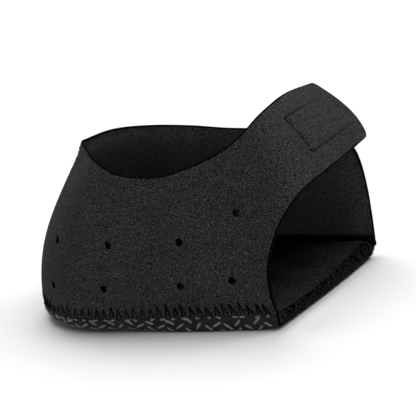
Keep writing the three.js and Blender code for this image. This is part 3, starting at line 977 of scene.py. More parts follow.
def tab_stitches(length, gap):
    """The tab's lock stitches: short threads along the sewn rectangle, arched in its groove, with how
    hard each is pulled in."""
    line = tab_seam_path(800)
    points = STRAP.face(line[:, 0], line[:, 1])
    run = np.append(running_length(points), 0)
    run[-1] = run[-2] + np.linalg.norm(points[0] - points[-1])
    line = np.vstack([line, line[:1]])
    count = int(run[-1] / (length + gap))
    pitch = run[-1] / count
    start = np.arange(count)[:, None] * pitch
    step = np.linspace(0, pitch - gap, 7)
    where = start + step
    row = np.interp(where, run, line[:, 0])
    height = np.interp(where, run, line[:, 1])
    arch = np.array([-0.35, 0.0, 0.12, 0.16, 0.12, 0.0, -0.35]) - 0.28
    out = STRAP.outward(row, height)
    pull = np.interp(where, run, np.append(tab_seam_pull(800), 1))
    rise = arch + 0.3 * (1 - pull) * (arch < -0.3)
    return STRAP.face(row, height) + out * rise[..., None], out, pull


def roll_line(spacing, radius):
    """The line of the inner seam's roll round the inside of the sole's edge, from close to the near
    front corner to a little past the far one and sinking to the front, as points a spacing apart and
    the directions towards the wall."""
    place = np.linspace(ROLL_START, 2, 1500)
    plan = sole_edge(place) - sole_outward(place) * (WALL_FOOT + 0.55 * radius)
    plan = np.vstack([plan, plan[-1] + ROLL_PAST * unit(plan[-1] - plan[-2])])
    rise = ROLL_SLOPE * np.clip(ROLL_FRONT - plan[:, 0], 0, ROLL_RUN)
    path = np.column_stack([plan, PAD_TOP - ROLL_SINK + rise])
    length = running_length(path)
    even = np.arange(0, length[-1], spacing)
    path = np.column_stack([np.interp(even, length, path[:, axis]) for axis in range(3)])
    path[:, 2] += 0.1 * waves(even, even * 0, 22, 8)
    run = unit(np.gradient(path, axis=0))
    return even, path, unit(np.cross(np.array([0, 0, 1.0]), run))


def seam_roll(radius, bump, pitch):
    """The overlocked roll where the walls meet the cushion: a tube round the inside of the sole's
    edge, its radius swelling at every wrap of thread."""
    even, path, _ = roll_line(0.12, radius)
    size = radius * (1 + bump * np.abs(np.sin(even * math.pi / pitch)) ** 0.7 - bump / 2)
    out = np.broadcast_to((0, 0, 1.0), path.shape)
    return thread(path[None], out[None], size[None], 10)


def roll_wraps(radius, pitch, climb):
    """The roll's wraps of thread: each comes up on the cushion's side, passes over the roll and ends
    as a short tooth on the wall."""
    even, centre, wall = roll_line(pitch, radius)
    rng = np.random.default_rng(9)
    side = np.array([-1.05, -0.8, 0, 0.75, 0.95, 1.05]) * radius
    level = np.array([-0.2, 0.75, 1.1, 0.9, 1.3, 1.3]) * radius
    tooth = climb * rng.uniform(0.5, 1.2, (len(even), 1)) * np.array([0, 0, 0, 0, 0.5, 1])
    path = centre[:, None, :] + wall[:, None, :] * side[None, :, None]
    path[..., 2] += level + tooth
    out = np.broadcast_to(np.gradient(centre, axis=0)[:, None, :], path.shape)
    return thread(path, unit(out), np.full(path.shape[:2], WRAP_RADIUS), 4)


SOLE_LIFT = 0.1  # the sole's cloth stands this far off the floor, on its grip dashes
HEEL_LIFT = 1.05
HEEL_LIFT_RUN = (72, 47)  # a run says where a change starts and where it is complete
TOE_LIFT = 0.45
TOE_CURL = 0.75  # further lift at the curl's width to either side
TOE_CURL_WIDTH = 32
FAR_TOE_LIFT = 0.8  # further lift at the far corner
FAR_TOE_RUN = (31, 38)
TOE_BEND = 12  # length of the bent front end
HEEL_ROUNDER = 0.8  # this and the next two change the sole's rounding
HEEL_ROUNDER_RUN = (30, 10)
NEAR_FRONT_TIGHTER = 2.6
NEAR_FRONT_RUN = (60, 85)
FAR_FRONT_ROUNDER = 0.6
FAR_FRONT_RUN = (95, 115)
RIM_WIDTH = 2.2
SKIN = 0.75  # the sole's cloth beside the front binding
CUSHION_INSET = 2.8
CUSHION_SIDE = 1.6  # its rounded side bulges by this
CUSHION_SHOULDER = 0.7  # the side ends this far under the cushion's top
CUSHION_WAVE = 0.12
CUSHION_WAVE_LENGTH = 30
CUSHION_RISE = 1.3  # the cushion is thicker by this behind its front
CUSHION_RISE_RUN = (118, 78)
LIP_RUN = 22  # the cushion thins to its front lip over this length
DASH_LEAN = math.radians(34)
DASH_RISE = 0.3
DASH_ROW_PITCH = 1.75
PILE_FIBRES = 3500
PILE_RADIUS = 0.09
BINDING_HALF = FRONT_HALF_WIDTH - SKIN - 0.05  # half the bar's length
END_WIDTHS = (1.4, 2.3)  # its near and far ends reach up to the walls over these widths
END_LOW = 5.2  # its lower edge rises no higher than this at both ends
BAR_POWER = 7  # power of the oval that is its section
BAR_SKIN = 0.2  # its rough surface lies this far inside that section
BAR_LUMPS = ((0.12, 2.4, 31), (0.08, 1.1, 32))  # height, length and seed
BAR_PIT = 1.5
BAR_PIT_LENGTH = 2.2
BAR_PIT_SEED = 33
# The cushion's front edge: distance across, height, and how far it stays behind the sole's front
FRONT_EDGE = np.array([
    (-36, 6.7, 0), (-28, 6.05, 0), (-18, 5.62, 0), (-5, 5.7, 0), (2, 5.85, 0.05),
    (10, 6.3, 0.6), (19, 6.78, 1.3), (28, 6.95, 2), (34, 7.25, 2.5),
])


def front_edge(y):
    """Height and set-back of the cushion's front edge: its table read at three places and averaged."""
    near = np.asarray(y)[..., None] + np.array([-3, 0, 3])
    return tuple(np.interp(near, FRONT_EDGE[:, 0], FRONT_EDGE[:, k]).mean(axis=-1) for k in (1, 2))


def rounding(place):
    """Radius of the sole's lower edge: wide at the back of the heel and at the far front corner, tight
    along the near front half."""
    x = sole_edge(place)[..., 0]
    heel = HEEL_ROUNDER * eased(x, *HEEL_ROUNDER_RUN)
    near_front = -NEAR_FRONT_TIGHTER * eased(x, *NEAR_FRONT_RUN)
    far_front = FAR_FRONT_ROUNDER * eased(x, *FAR_FRONT_RUN)
    return SOLE_ROUNDING + heel + np.where(place < 0, near_front, far_front)


def wrapped(plan):
    """Lays flat sole cloth onto the sole. A point inside the flat border stays on the underside; one
    beyond it is carried by its distance round the edge's quarter circle and up the rim. Gives the
    points and the directions out of the cloth."""
    place = np.linspace(-2, 2, 2400)
    outward = sole_outward(place)
    radius = rounding(place)
    border = sole_edge(place) - outward * radius[:, None]
    flat = plan.reshape(-1, 2)
    chunks = [np.argmin(((part[:, None, :] - border) ** 2).sum(axis=-1), axis=1)
              for part in np.array_split(flat, max(len(flat) // 2000, 1))]
    nearest = np.concatenate(chunks)
    away, radius = outward[nearest], radius[nearest]
    beyond = ((flat - border[nearest]) * away).sum(axis=-1)
    turn = np.clip(beyond / radius, 0, math.pi / 2)
    rest = np.maximum(beyond - radius * math.pi / 2, 0)
    edge = border[nearest] + away * (radius * np.sin(turn))[:, None]
    spot = np.where((beyond > 0)[:, None], edge, flat)
    level = SOLE_LIFT + radius * (1 - np.cos(turn)) + rest
    out = np.column_stack([away * np.sin(turn)[:, None], -np.cos(turn)])
    shape = plan.shape[:-1] + (3,)
    return np.column_stack([spot, level]).reshape(shape), out.reshape(shape)


def front_line(y, back):
    """The front edge of the sole at a distance across it, set back by so much."""
    return SOLE_LENGTH + y * FRONT_SKEW / FRONT_HALF_WIDTH - back


def toe_lift(y):
    """How far the sole's front end is bent up: least in the middle, most at the far corner."""
    return TOE_LIFT + TOE_CURL * (y / TOE_CURL_WIDTH) ** 2 + FAR_TOE_LIFT * eased(y, *FAR_TOE_RUN)


def sole_bent(points):
    """Bends the sole up at the heel and, along a parabola over its last stretch, at the front end; both
    fade out at the seam."""
    x, y = points[..., 0], points[..., 1]
    bend = np.clip((x - front_line(y, TOE_BEND)) / TOE_BEND, 0, 1)
    lift = HEEL_LIFT * eased(x, *HEEL_LIFT_RUN) + toe_lift(y) * bend ** 2
    points[..., 2] += lift * np.clip(1 - points[..., 2] / SEAM_HEIGHT, 0, 1)
    return points


def outsole_mesh(name):
    """The sole's tray: a profile carried round the edge. From the middle of the underside it runs out
    to the flat's border, round a quarter circle, up the rim, in over its top, down its inner wall and
    back to the middle of the tray's floor. Its front is notched for the binding, and the rim's front
    ends are cut edges."""
    side = np.linspace(1, 1.99, 60)
    place = np.concatenate([[-2], -side[::-1], np.linspace(-1, 1, 150)[1:-1], side, [2]])
    edge, outward, middle = sole_edge(place), sole_outward(place), sole_middle(place)
    turn = np.linspace(0, math.pi / 2, 9)
    top_turn = np.linspace(0, math.pi / 2, 4)
    rim_top = SEAM_HEIGHT - 0.03
    radius = np.minimum(rounding(place), rim_top - SOLE_LIFT - 0.4)[:, None]
    rim_inset = np.concatenate([0.3 * (1 - np.cos(top_turn)), [SKIN, SKIN + 0.001], [RIM_WIDTH] * 3])
    rim_level = np.concatenate([
        rim_top - 0.3 + 0.3 * np.sin(top_turn), [rim_top] * 3, [3.5, OUTSOLE_FLOOR]])
    inset = np.hstack([rounding(place)[:, None] * (1 - np.sin(turn)), np.tile(rim_inset, (len(place), 1))])
    level = np.hstack([SOLE_LIFT + radius * (1 - np.cos(turn)), np.tile(rim_level, (len(place), 1))])
    wall = edge[:, None, :] - outward[:, None, :] * inset[..., None]
    part = np.array([0, 0.2, 0.45, 0.7, 0.9, 0.96])[None, :, None]
    under = middle[:, None, :] + (wall[:, :1] - middle[:, None, :]) * part
    floor = middle[:, None, :] + (wall[:, -1:] - middle[:, None, :]) * part[:, ::-1]
    plan = np.concatenate([under, wall, floor], axis=1)
    flat = np.ones((len(place), 6))
    height = np.hstack([flat * SOLE_LIFT, level, flat * OUTSOLE_FLOOR])
    notch = front_line(plan[..., 1], BINDING_DEPTH + GAP)
    within = np.abs(plan[..., 1]) < FRONT_HALF_WIDTH - SKIN
    plan[..., 0] = np.where(within, np.minimum(plan[..., 0], notch), plan[..., 0])
    points = sole_bent(np.concatenate([plan, height[..., None]], axis=-1))
    across, along = points.shape[:2]
    faces = grid_faces(across, along, turned=True).tolist()
    finish = np.zeros((across - 1, along - 1), int)
    finish[[0, -1], 6:18] = 1
    finish = finish.ravel().tolist() + [1, 1]
    faces.append(list(range(along)))
    faces.append([(across - 1) * along + k for k in range(along)][::-1])
    return closed_mesh(name, points.reshape(-1, 3), faces, finish=finish)


def grip_mesh(name, length, width, rise, pitch, row_pitch):
    """Grip dashes in rows that lean by turns to either side. Each is a closed lens: rings whose half
    width falls along a fourth-power curve to both ends, flattened to the rise, laid onto the sole."""
    row = np.arange(-30, 31)
    step = np.arange(-2, 22)
    j, i = np.meshgrid(row, step, indexing="ij")
    rng = np.random.default_rng(4)
    shift = rng.uniform(-0.35, 0.35, j.shape + (2,))
    centre = np.stack([i * pitch + (j % 2) * pitch / 2, j * row_pitch], axis=-1) + shift
    lean = np.where(j % 2 == 0, 1, -1) * DASH_LEAN + rng.uniform(-0.2, 0.2, j.shape)
    size = length * rng.uniform(0.7, 1.1, j.shape)
    centre, lean, size = centre.reshape(-1, 2), lean.ravel(), size.ravel()
    kept = sole_reach(centre)
    caught, caught_lean = seam_dashes(rng, 0.6 * pitch)
    centre = np.vstack([centre[kept], caught])
    lean = np.concatenate([lean[kept], caught_lean])
    size = np.concatenate([size[kept], length * rng.uniform(0.35, 0.65, len(caught))])
    along = np.linspace(-1, 1, 7)
    half = np.maximum(np.sqrt(np.maximum(1 - np.abs(along) ** 4, 0)), 0.22)
    turn = np.arange(6) * math.pi / 3
    a = along[:, None] * np.ones(6) * size[:, None, None] / 2
    b = half[:, None] * np.cos(turn) * width / 2
    c = half[:, None] * np.sin(turn) * rise
    cos, sin = np.cos(lean)[:, None, None], np.sin(lean)[:, None, None]
    plan = np.stack([a * cos - b * sin, a * sin + b * cos], axis=-1) + centre[:, None, None, :]
    points, out = wrapped(plan)
    points = sole_bent(points + out * c[None, :, :, None])
    points[..., 2] = np.clip(points[..., 2], 0, SEAM_HEIGHT)
    return faced_outwards(bundle(name, points))


def seam_dashes(rng, pitch):
    """Centres and leanings of the dashes caught in the seam: about a pitch apart along the sole's edge,
    at the rim's top, each leaning up to 0.6 radians off the edge's run."""
    place = np.linspace(-1.98, 1.98, 2000)
    reach = rounding(place) * (math.pi / 2 - 2) + SEAM_HEIGHT - 0.25 - SOLE_LIFT
    plan = sole_edge(place) + sole_outward(place) * reach[:, None]
    length = running_length(plan)
    where = np.arange(pitch / 2, length[-1], pitch)
    where = where + rng.uniform(-0.3, 0.3, len(where)) * pitch
    centre = np.column_stack([np.interp(where, length, plan[:, axis]) for axis in range(2)])
    run = np.gradient(plan, axis=0)
    turn = np.unwrap(np.arctan2(run[:, 1], run[:, 0]))
    return centre, np.interp(where, length, turn) + rng.uniform(-0.6, 0.6, len(where))


def sole_reach(centre):
    """Which dash centres lie on the sole's cloth, clear of the seam and the front."""
    place = np.linspace(-2, 2, 1200)
    outward = sole_outward(place)
    radius = rounding(place)
    border = sole_edge(place) - outward * radius[:, None]
    nearest = np.argmin(((centre[:, None, :] - border) ** 2).sum(axis=-1), axis=1)
    beyond = ((centre - border[nearest]) * outward[nearest]).sum(axis=-1)
    limit = radius[nearest] * (math.pi / 2 - 1) + SEAM_HEIGHT - 1 - SOLE_LIFT
    front = front_line(centre[:, 1], np.where(beyond > -1, 3.5, BINDING_DEPTH + 3.2))
    return (beyond < limit) & (centre[:, 0] < front)


def cushion_mesh(name, crown):
    """The insole cushion: a profile carried round the sole's edge, set in from the walls. From the
    middle of its underside it runs out, up a rounded side and in over a crowned top. Its front thins
    to a lip that lies over the binding."""
    side = np.linspace(1, 2, 60)
    place = np.concatenate([-side[::-1], np.linspace(-1, 1, 150)[1:-1], side])
    inset = CUSHION_INSET - 0.7 * smooth((-place - 1.88) / 0.1)
    edge = sole_edge(place) - sole_outward(place) * inset[:, None]
    edge[:, 0] = np.minimum(edge[:, 0], front_line(edge[:, 1], GAP))
    middle = sole_middle(place)
    middle[:, 0] = np.minimum(middle[:, 0], front_line(0, GAP))
    turn = np.linspace(-math.pi / 2, math.pi / 2, 13)
    low, high = OUTSOLE_FLOOR + GAP, PAD_TOP - CUSHION_SHOULDER
    half = (high - low) / 2
    side_in = CUSHION_SIDE * (1 - np.cos(turn))
    side_z = low + half + half * np.sin(turn)
    part = np.linspace(0, 1, 40)[1:]
    under = np.array([1.0, 0.6, 0.3])
    outward = unit(edge - middle)
    ring = edge[:, None, :] - outward[:, None, :] * side_in[None, :, None]
    top = ring[:, -1:] + (middle[:, None, :] - ring[:, -1:]) * part[None, :, None]
    base = middle[:, None, :] + (ring[:, :1] - middle[:, None, :]) * (1 - under)[None, :, None]
    plan = np.concatenate([base, ring, top], axis=1)
    depth = np.concatenate([np.zeros(len(under) + len(turn)), part])
    swell = crown * (1 - (1 - depth) ** 3)
    height = np.concatenate([np.full(len(under), low), side_z, np.full(len(part), high)]) + swell
    x, y = plan[..., 0], plan[..., 1]
    wave = CUSHION_WAVE * waves(x, y, CUSHION_WAVE_LENGTH, 21) * np.clip(depth * 4, 0, 1)
    share = np.clip((height - low) / (high - low), 0, 1)
    level = height + wave + CUSHION_RISE * share * eased(x, *CUSHION_RISE_RUN)
    top, set_back = front_edge(y)
    x = np.minimum(x, front_line(y, GAP + set_back))
    ahead = x - front_line(y, BINDING_DEPTH + 2 * GAP)
    level = level + share * smooth(ahead / LIP_RUN + 1) * (top + 0.3 - np.maximum(level, high))
    level = np.maximum(level, (top + 0.03) * np.clip(ahead / 1.5, 0, 1))
    points = np.stack([x, y, level], axis=-1)
    across, along = points.shape[:2]
    faces = grid_faces(across, along, turned=True).tolist()
    faces.append(list(range(along)))
    faces.append([(across - 1) * along + k for k in range(along)][::-1])
    return closed_mesh(name, points.reshape(-1, 3), faces, uv=points[..., :2].reshape(-1, 2))


def binding_face(along, turn, far_top=SEAM_HEIGHT - 0.1):
    """The front binding's surface: a bar across the sole's front over the distance along it and the
    turn round it. Its section is a rounded block, a seventh-power oval; the lower edge follows the
    sole's rounding up at both ends, and the far end reaches up to a height of its own. Gives the points
    and the outward directions."""
    run = unit(np.array([2 * FRONT_SKEW, 2 * FRONT_HALF_WIDTH, 0.0]))
    ahead = np.array([run[1], -run[0], 0.0])
    upward = np.array([0, 0, 1.0])
    cos, sin = np.cos(turn), np.sin(turn)
    size = (np.abs(cos) ** BAR_POWER + np.abs(sin) ** BAR_POWER) ** (-1 / BAR_POWER)
    radius = rounding(np.where(along < 0, -2.0, 2.0)) - SKIN
    past = np.clip(np.abs(along) - (FRONT_HALF_WIDTH - SKIN - radius), 0, radius)
    low = np.minimum(SOLE_LIFT + toe_lift(along) + radius - np.sqrt(radius ** 2 - past ** 2), END_LOW)
    foot = np.abs(along) > FRONT_HALF_WIDTH - np.where(along < 0, *END_WIDTHS)
    foot_top = np.where(along < 0, SEAM_HEIGHT - 0.1, far_top)
    high = np.where(foot, foot_top, front_edge(along)[0] - 0.05)
    depth, half = BINDING_DEPTH / 2, (high - low) / 2
    centre = np.array([SOLE_LENGTH, 0, 0]) - ahead * depth
    points = (centre + along[..., None] * run + (size * cos * depth)[..., None] * ahead
              + (low + half + size * sin * half)[..., None] * upward)
    out = unit((cos / depth)[..., None] * ahead + (sin / half)[..., None] * upward)
    return points, out


def binding_mesh(name):
    """The front binding: its surface roughened by two sizes of seeded lumps and by pits, closed at
    both ends."""
    along = np.linspace(-BINDING_HALF, BINDING_HALF, 260)
    turn = np.linspace(0, 2 * math.pi, 80, endpoint=False)
    a, t = np.meshgrid(along, turn, indexing="ij")
    points, out = binding_face(a, t)
    z = points[..., 2]
    lumps = sum(height * waves(a, z, length, seed) for height, length, seed in BAR_LUMPS)
    pits = BAR_PIT * np.clip(waves(a, z, BAR_PIT_LENGTH, BAR_PIT_SEED) - 0.4, 0, 0.55)
    rings = points + out * (lumps - pits * (np.cos(t) > 0) - BAR_SKIN)[..., None]
    return faced_outwards(bundle(name, rings[None]))


def pile_mesh(name, count, length):
    """Pile fibres on the front binding: thin three-sided tapers that leave its surface at seeded
    places and leanings and curl over along a parabola."""
    rng = np.random.default_rng(77)
    half = FRONT_HALF_WIDTH - 1.2
    along = rng.uniform(-half, half + 0.7, count)
    turn = rng.uniform(-0.3 * math.pi, 0.3 * math.pi, count)
    root, out = binding_face(along, turn, PAD_TOP - 0.2)
    lean = unit(rng.normal(0, 1, (count, 3)))
    step = np.linspace(0, 1, 4)
    size = length * rng.uniform(0.5, 1.2, count)
    path = (root[:, None, :] - out[:, None, :] * 0.2
            + out[:, None, :] * (size[:, None] * step)[..., None]
            + lean[:, None, :] * (size[:, None] * 0.9 * step ** 2)[..., None])
    thick = PILE_RADIUS * (1 - 0.75 * step) * np.ones((count, 1))
    side = unit(np.cross(out, lean))
    rings = thread(path, np.repeat(side[:, None, :], 4, axis=1), thick, 3)
    return bundle(name, rings, sharp=180)


def hook_mesh(name, wall):
    """The hook patch: a thin backing on the strap's inner face, its cells crowded at its upper and lower
    edges.
    """
    columns = np.linspace(*HOOK_ROWS, 40)
    parts = edge_crowded(30, 3, 0.03, 0.03)
    heights = HOOK_HEIGHTS[0] + (HOOK_HEIGHTS[1] - HOOK_HEIGHTS[0]) * parts
    rows, heights = np.meshgrid(columns, heights, indexing="ij")
    face = STRAP.face(rows, heights)
    out = STRAP.outward(rows, heights)
    outer = face - out * (wall + GAP)
    inner = face - out * (wall + GAP + HOOK_BACKING)
    points = np.vstack([outer.reshape(-1, 3), inner.reshape(-1, 3)])
    return mesh_of(name, points, sheet_faces(*rows.shape).tolist())


def hook_stems_mesh(name, wall):
    """Rows of hooks on the patch: tapers that leave the backing and bend over at the tip."""
    columns = np.linspace(HOOK_ROWS[0] + 0.05, HOOK_ROWS[1] - 0.05, HOOK_GRID[0])
    levels = np.linspace(HOOK_HEIGHTS[0] + 0.015, HOOK_HEIGHTS[1] - 0.015, HOOK_GRID[1])
    rows, heights = (grid.ravel() for grid in np.meshgrid(columns, levels, indexing="ij"))
    root = STRAP.face(rows, heights)
    out = STRAP.outward(rows, heights)
    over = unit(np.cross(out, np.cross(STRAP.face(rows, heights + 0.01) - root, out)))
    step = np.linspace(0, 1, 5)
    drop = HOOK_RISE * np.sin(step * 2.2)
    bend = HOOK_BEND * step ** 2
    sunk = HOOK_BACKING - 0.05
    path = (root[:, None, :] - out[:, None, :] * (wall + GAP + sunk + drop)[None, :, None]
            + over[:, None, :] * bend[None, :, None])
    side = unit(np.cross(out, over))
    thick = (0.2 - 0.1 * step) * np.ones((len(rows), 1))
    return bundle(name, thread(path, np.repeat(side[:, None, :], 5, axis=1), thick, 4))


class HeelSizes(bpy.types.PropertyGroup):
    """Sizes of the cloth, seams and sole."""

    wall: bpy.props.FloatProperty(
        name="Wall", description="Thickness of the neoprene", default=0.0022, unit="LENGTH", precision=4)
    hole: bpy.props.FloatProperty(
        name="Hole", description="Diameter of a breathing hole", default=0.0028, unit="LENGTH", precision=4)
    stitch_pitch: bpy.props.FloatProperty(
        name="Stitch pitch", description="Distance between the seam's stitches", default=0.00337,
        unit="LENGTH", precision=5)
    stitch_height: bpy.props.FloatProperty(
        name="Stitch height", description="Height of the seam's stitches", default=0.0052,
        unit="LENGTH", precision=4)
    thread: bpy.props.FloatProperty(
        name="Thread", description="Diameter of the sewing thread", default=0.00046,
        unit="LENGTH", precision=5)
    dash_length: bpy.props.FloatProperty(
        name="Dash length", description="Length of a grip dash", default=0.0043, unit="LENGTH", precision=4)
    dash_width: bpy.props.FloatProperty(
        name="Dash width", description="Width of a grip dash", default=0.00096, unit="LENGTH", precision=5)
    dash_pitch: bpy.props.FloatProperty(
        name="Dash pitch", description="Distance between dashes in a row", default=0.008,
        unit="LENGTH", precision=4)
    crown: bpy.props.FloatProperty(
        name="Crown", description="Rise of the cushion's middle", default=0.0011,
        unit="LENGTH", precision=4)
    pile: bpy.props.FloatProperty(
        name="Pile", description="Length of the front binding's fibres", default=0.0004,
        unit="LENGTH", precision=4)


class HeelColours(bpy.types.PropertyGroup):
    """Colours of the finishes."""

    jersey: bpy.props.FloatVectorProperty(
        name="Jersey", description="Outer cloth", subtype="COLOR",
        default=(0.0238, 0.0238, 0.0238), min=0, max=1)
    lining: bpy.props.FloatVectorProperty(
        name="Lining", description="Inner cloth", subtype="COLOR",
        default=(0.0355, 0.0355, 0.0355), min=0, max=1)
    insole: bpy.props.FloatVectorProperty(
        name="Insole", description="Cloth over the cushion", subtype="COLOR",
        default=(0.0145, 0.0145, 0.0145), min=0, max=1)
    foam: bpy.props.FloatVectorProperty(
        name="Foam", description="Cut edges", subtype="COLOR",
        default=(0.0008, 0.0008, 0.0008), min=0, max=1)
    thread: bpy.props.FloatVectorProperty(
        name="Thread", description="Sewing thread", subtype="COLOR",
        default=(0.0011, 0.0011, 0.0011), min=0, max=1)
    tread: bpy.props.FloatVectorProperty(
        name="Tread cloth", description="Cloth of the sole", subtype="COLOR",
        default=(0.0208, 0.0208, 0.0208), min=0, max=1)
    grip: bpy.props.FloatVectorProperty(
        name="Grip", description="Raised dashes on the sole", subtype="COLOR",
        default=(0.235, 0.235, 0.235), min=0, max=1)
    pile: bpy.props.FloatVectorProperty(
        name="Pile", description="Front binding", subtype="COLOR",
        default=FINISH["binding"], min=0, max=1)
    hook: bpy.props.FloatVectorProperty(
        name="Hook tape", description="Hook patch", subtype="COLOR",
        default=FINISH["hook_tape"], min=0, max=1)
    floor: bpy.props.FloatVectorProperty(
        name="Floor", description="Studio floor", subtype="COLOR",
        default=(0.86, 0.86, 0.86), min=0, max=1)


def stand(name, data, right, up, back, place):
    """Puts a camera or a light into the scene at a place in metres, with its three directions."""
    made = bpy.data.objects.new(name, data)
    made.matrix_world = Matrix(np.column_stack([right, up, back, place]).tolist() + [[0, 0, 0, 1]])
    bpy.context.scene.collection.objects.link(made)
    return made


def area_light(name, place, size, power):
    """A square soft light that looks at the lights' aim."""
    data = bpy.data.lights.new(name, "AREA")
    data.shape = "SQUARE"
    data.size = size
    data.energy = power
    back = unit(np.array(place) - np.array(LIGHT_AIM))
    right = unit(np.cross((0, 0, 1.0), back))
    stand(name, data, right, np.cross(back, right), back, place)


def photo_camera():
    """The photograph's camera: turned and tilted about its aim, then rolled about its line of sight."""
    turn, tilt, roll = (math.radians(angle) for angle in (CAMERA_TURN, CAMERA_TILT, CAMERA_ROLL))
    back = np.array([math.sin(turn) * math.cos(tilt), -math.cos(turn) * math.cos(tilt), math.sin(tilt)])
    level = np.array([math.cos(turn), math.sin(turn), 0])
    upright = np.cross(back, level)
    right = math.cos(roll) * level - math.sin(roll) * upright
    up = math.sin(roll) * level + math.cos(roll) * upright
    data = bpy.data.cameras.new("camera")
    data.sensor_width = SENSOR_WIDTH
    data.lens = CAMERA_LENS
    return stand("camera", data, right, up, back, to_row(CAMERA_AIM) + back * CAMERA_DISTANCE)


def studio_floor(colour):
    """A flat square grid at the level that the sole stands on."""
    spread = np.linspace(-FLOOR_REACH, FLOOR_REACH, FLOOR_POINTS) / MM
    x, y = np.meshgrid(spread, spread, indexing="ij")
    points = np.stack([x + ORIGIN_X, y, x * 0], axis=-1).reshape(-1, 3)
    mesh = mesh_of("floor", points, grid_faces(FLOOR_POINTS, FLOOR_POINTS).tolist())
    mesh.materials.append(floor_finish(colour))
    floor = bpy.data.objects.new("floor", mesh)
    bpy.context.scene.collection.objects.link(floor)


class HEEL_OT_stage(bpy.types.Operator):
    """Makes the camera, the pale floor and the soft studio light"""

    bl_idname = "heel.stage"
    bl_label = "Stage"

    def execute(self, context):
        scene = context.scene
        scene.camera = photo_camera()
        studio_floor(tuple(scene.heel_colours.floor))
        for light in LIGHTS:
            area_light(*light)
        world = bpy.data.worlds.new("studio")
        world.use_nodes = True
        glow = world.node_tree.nodes["Background"].inputs
        glow["Color"].default_value = (1, 1, 1, 1)
        glow["Strength"].default_value = STUDIO_GLOW
        scene.world = world
        scene.view_settings.view_transform = "Standard"
        return {"FINISHED"}


class HEEL_OT_side_panels(bpy.types.Operator):
    """Makes the two neoprene side panels with their breathing holes"""

    bl_idname = "heel.side_panels"
    bl_label = "Side panels"

    def execute(self, context):
        sizes = context.scene.heel_sizes
        made = finishes()
        looks = [made["brushed_jersey"], made["smooth_lining"], made["foam_edge"]]
        pieces = (
            ("strap_panel", STRAP, HOLES, "side_panel_strap"),
            ("landing_panel", LANDING, HOLES[:LANDING_HOLES], "side_panel_landing"),
        )
        for name, panel, holes, node in pieces:
            piece = link(name, panel_mesh(name, panel, sizes.wall / MM), looks, [node])
            mesh = hole_punches("punches", panel, holes, sizes.hole / MM, PUNCH_REACH)
            mesh.materials.append(looks[CUT_EDGE])
            punches = bpy.data.objects.new("punches", mesh)
            context.scene.collection.objects.link(punches)
            cut = piece.modifiers.new("holes", "BOOLEAN")
            cut.object = punches
            cut.solver = "EXACT"
            cut.material_mode = "TRANSFER"
            baked(piece)
            bpy.data.objects.remove(punches)
        return {"FINISHED"}


class HEEL_OT_hook_patch(bpy.types.Operator):
    """Makes the hook patch behind the strap's tab"""

    bl_idname = "heel.hook_patch"
    bl_label = "Hook patch"

    def execute(self, context):
        wall = context.scene.heel_sizes.wall / MM
        look = finishes()["hook_tape"]
        link("hook_backing", hook_mesh("hook_backing", wall), [look], ["hook_patch"])
        link("hook_field", hook_stems_mesh("hook_field", wall), [look])
        return {"FINISHED"}


class HEEL_OT_outsole(bpy.types.Operator):
    """Makes the anti-slip sole and its raised grip dashes"""

    bl_idname = "heel.outsole"
    bl_label = "Outsole"

    def execute(self, context):
        sizes = context.scene.heel_sizes
        made = finishes()
        looks = [made["tread_cloth"], made["foam_edge"]]
        link("outsole_cloth", outsole_mesh("outsole_cloth"), looks, ["outsole"])
        dashes = grip_mesh(
            "grip_dashes", sizes.dash_length / MM, sizes.dash_width / MM, DASH_RISE,
            sizes.dash_pitch / MM, DASH_ROW_PITCH)
        link("grip_dashes", dashes, [made["grip_dash"]])
        return {"FINISHED"}


class HEEL_OT_insole(bpy.types.Operator):
    """Makes the crowned insole cushion"""

    bl_idname = "heel.insole"
    bl_label = "Insole"

    def execute(self, context):
        mesh = cushion_mesh("insole_cushion", context.scene.heel_sizes.crown / MM)
        piece = link("insole_cushion", mesh, [finishes()["insole_cloth"]], ["insole_pad"])
        return {"FINISHED"}


class HEEL_OT_binding(bpy.types.Operator):
    """Makes the rough binding across the front of the sole"""

    bl_idname = "heel.binding"
    bl_label = "Front binding"

    def execute(self, context):
        look = finishes()["matted_pile"]
        link("front_binding_bar", binding_mesh("front_binding_bar"), [look], ["front_binding"])
        fibres = pile_mesh("front_binding_pile", PILE_FIBRES, context.scene.heel_sizes.pile / MM)
        link("front_binding_pile", fibres, [look])
        return {"FINISHED"}


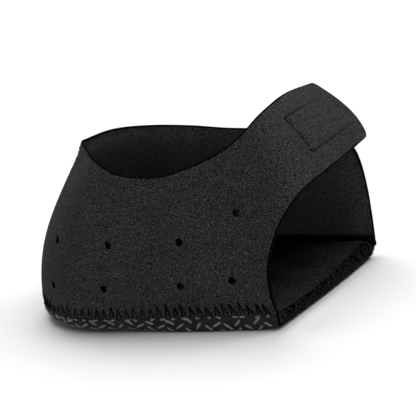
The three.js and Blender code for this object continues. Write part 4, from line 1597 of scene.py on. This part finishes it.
class HEEL_OT_seams(bpy.types.Operator):
    """Makes the seam stitches, the back seam, the tab's stitches and the inner seam roll"""

    bl_idname = "heel.seams"
    bl_label = "Seams"

    def execute(self, context):
        sizes = context.scene.heel_sizes
        look = finishes()["sewing_thread"]
        radius = sizes.thread / MM / 2
        for name, panel in (("strap_panel_stitches", STRAP), ("landing_panel_stitches", LANDING)):
            path, out = zigzag(panel, sizes.stitch_pitch / MM, sizes.stitch_height / MM)
            rings = thread(path, out, np.full(path.shape[:2], radius))
            link(name, bundle(name, rings), [look])
        fill = back_fill(sizes.wall / MM)
        link("back_seam_fill", bundle("back_seam_fill", fill), [finishes()["foam_edge"]])
        path, out = back_stitches(BACK_STITCH_PITCH, BACK_STITCH_ROWS)
        rings = thread(path, out, np.full(path.shape[:2], radius * FINE_THREAD))
        link("back_seam_stitches", bundle("back_seam_stitches", rings), [look])
        path, out, pull = tab_stitches(TAB_STITCH, TAB_STITCH_GAP)
        rings = thread(path, out, radius * FINE_THREAD * pull)
        link("tab_stitches", bundle("tab_stitches", rings), [look])
        rings = seam_roll(ROLL_RADIUS, ROLL_BUMP, ROLL_PITCH)
        link("inner_seam_roll", bundle("inner_seam_roll", rings), [look])
        rings = roll_wraps(ROLL_RADIUS, ROLL_PITCH, WRAP_CLIMB)
        link("inner_seam_wraps", bundle("inner_seam_wraps", rings), [look])
        return {"FINISHED"}


class HEEL_PT_sidebar(bpy.types.Panel):
    """Sizes, colours and makers of the heel protector"""

    bl_idname = "HEEL_PT_sidebar"
    bl_label = "Heel protector"
    bl_space_type = "VIEW_3D"
    bl_region_type = "UI"
    bl_category = "Heel"

    def draw(self, context):
        for group in (context.scene.heel_sizes, context.scene.heel_colours):
            for name in group.__annotations__:
                self.layout.prop(group, name)
        for maker in MAKERS:
            self.layout.operator(maker.bl_idname)


MAKERS = (
    HEEL_OT_stage,
    HEEL_OT_side_panels,
    HEEL_OT_hook_patch,
    HEEL_OT_outsole,
    HEEL_OT_insole,
    HEEL_OT_binding,
    HEEL_OT_seams,
)
CLASSES = (HeelSizes, HeelColours, *MAKERS, HEEL_PT_sidebar)


def register():
    """Registers the classes and hangs the settings on the scene."""
    for made in CLASSES:
        bpy.utils.register_class(made)
    bpy.types.Scene.heel_sizes = bpy.props.PointerProperty(type=HeelSizes)
    bpy.types.Scene.heel_colours = bpy.props.PointerProperty(type=HeelColours)


def unregister():
    """Takes the settings and the classes away again."""
    del bpy.types.Scene.heel_colours
    del bpy.types.Scene.heel_sizes
    for made in reversed(CLASSES):
        bpy.utils.unregister_class(made)


def main():
    """Builds the whole scene."""
    register()
    bpy.ops.heel.stage()
    bpy.ops.heel.side_panels()
    bpy.ops.heel.hook_patch()
    bpy.ops.heel.outsole()
    bpy.ops.heel.insole()
    bpy.ops.heel.binding()
    bpy.ops.heel.seams()


if __name__ == "__main__":
    main()
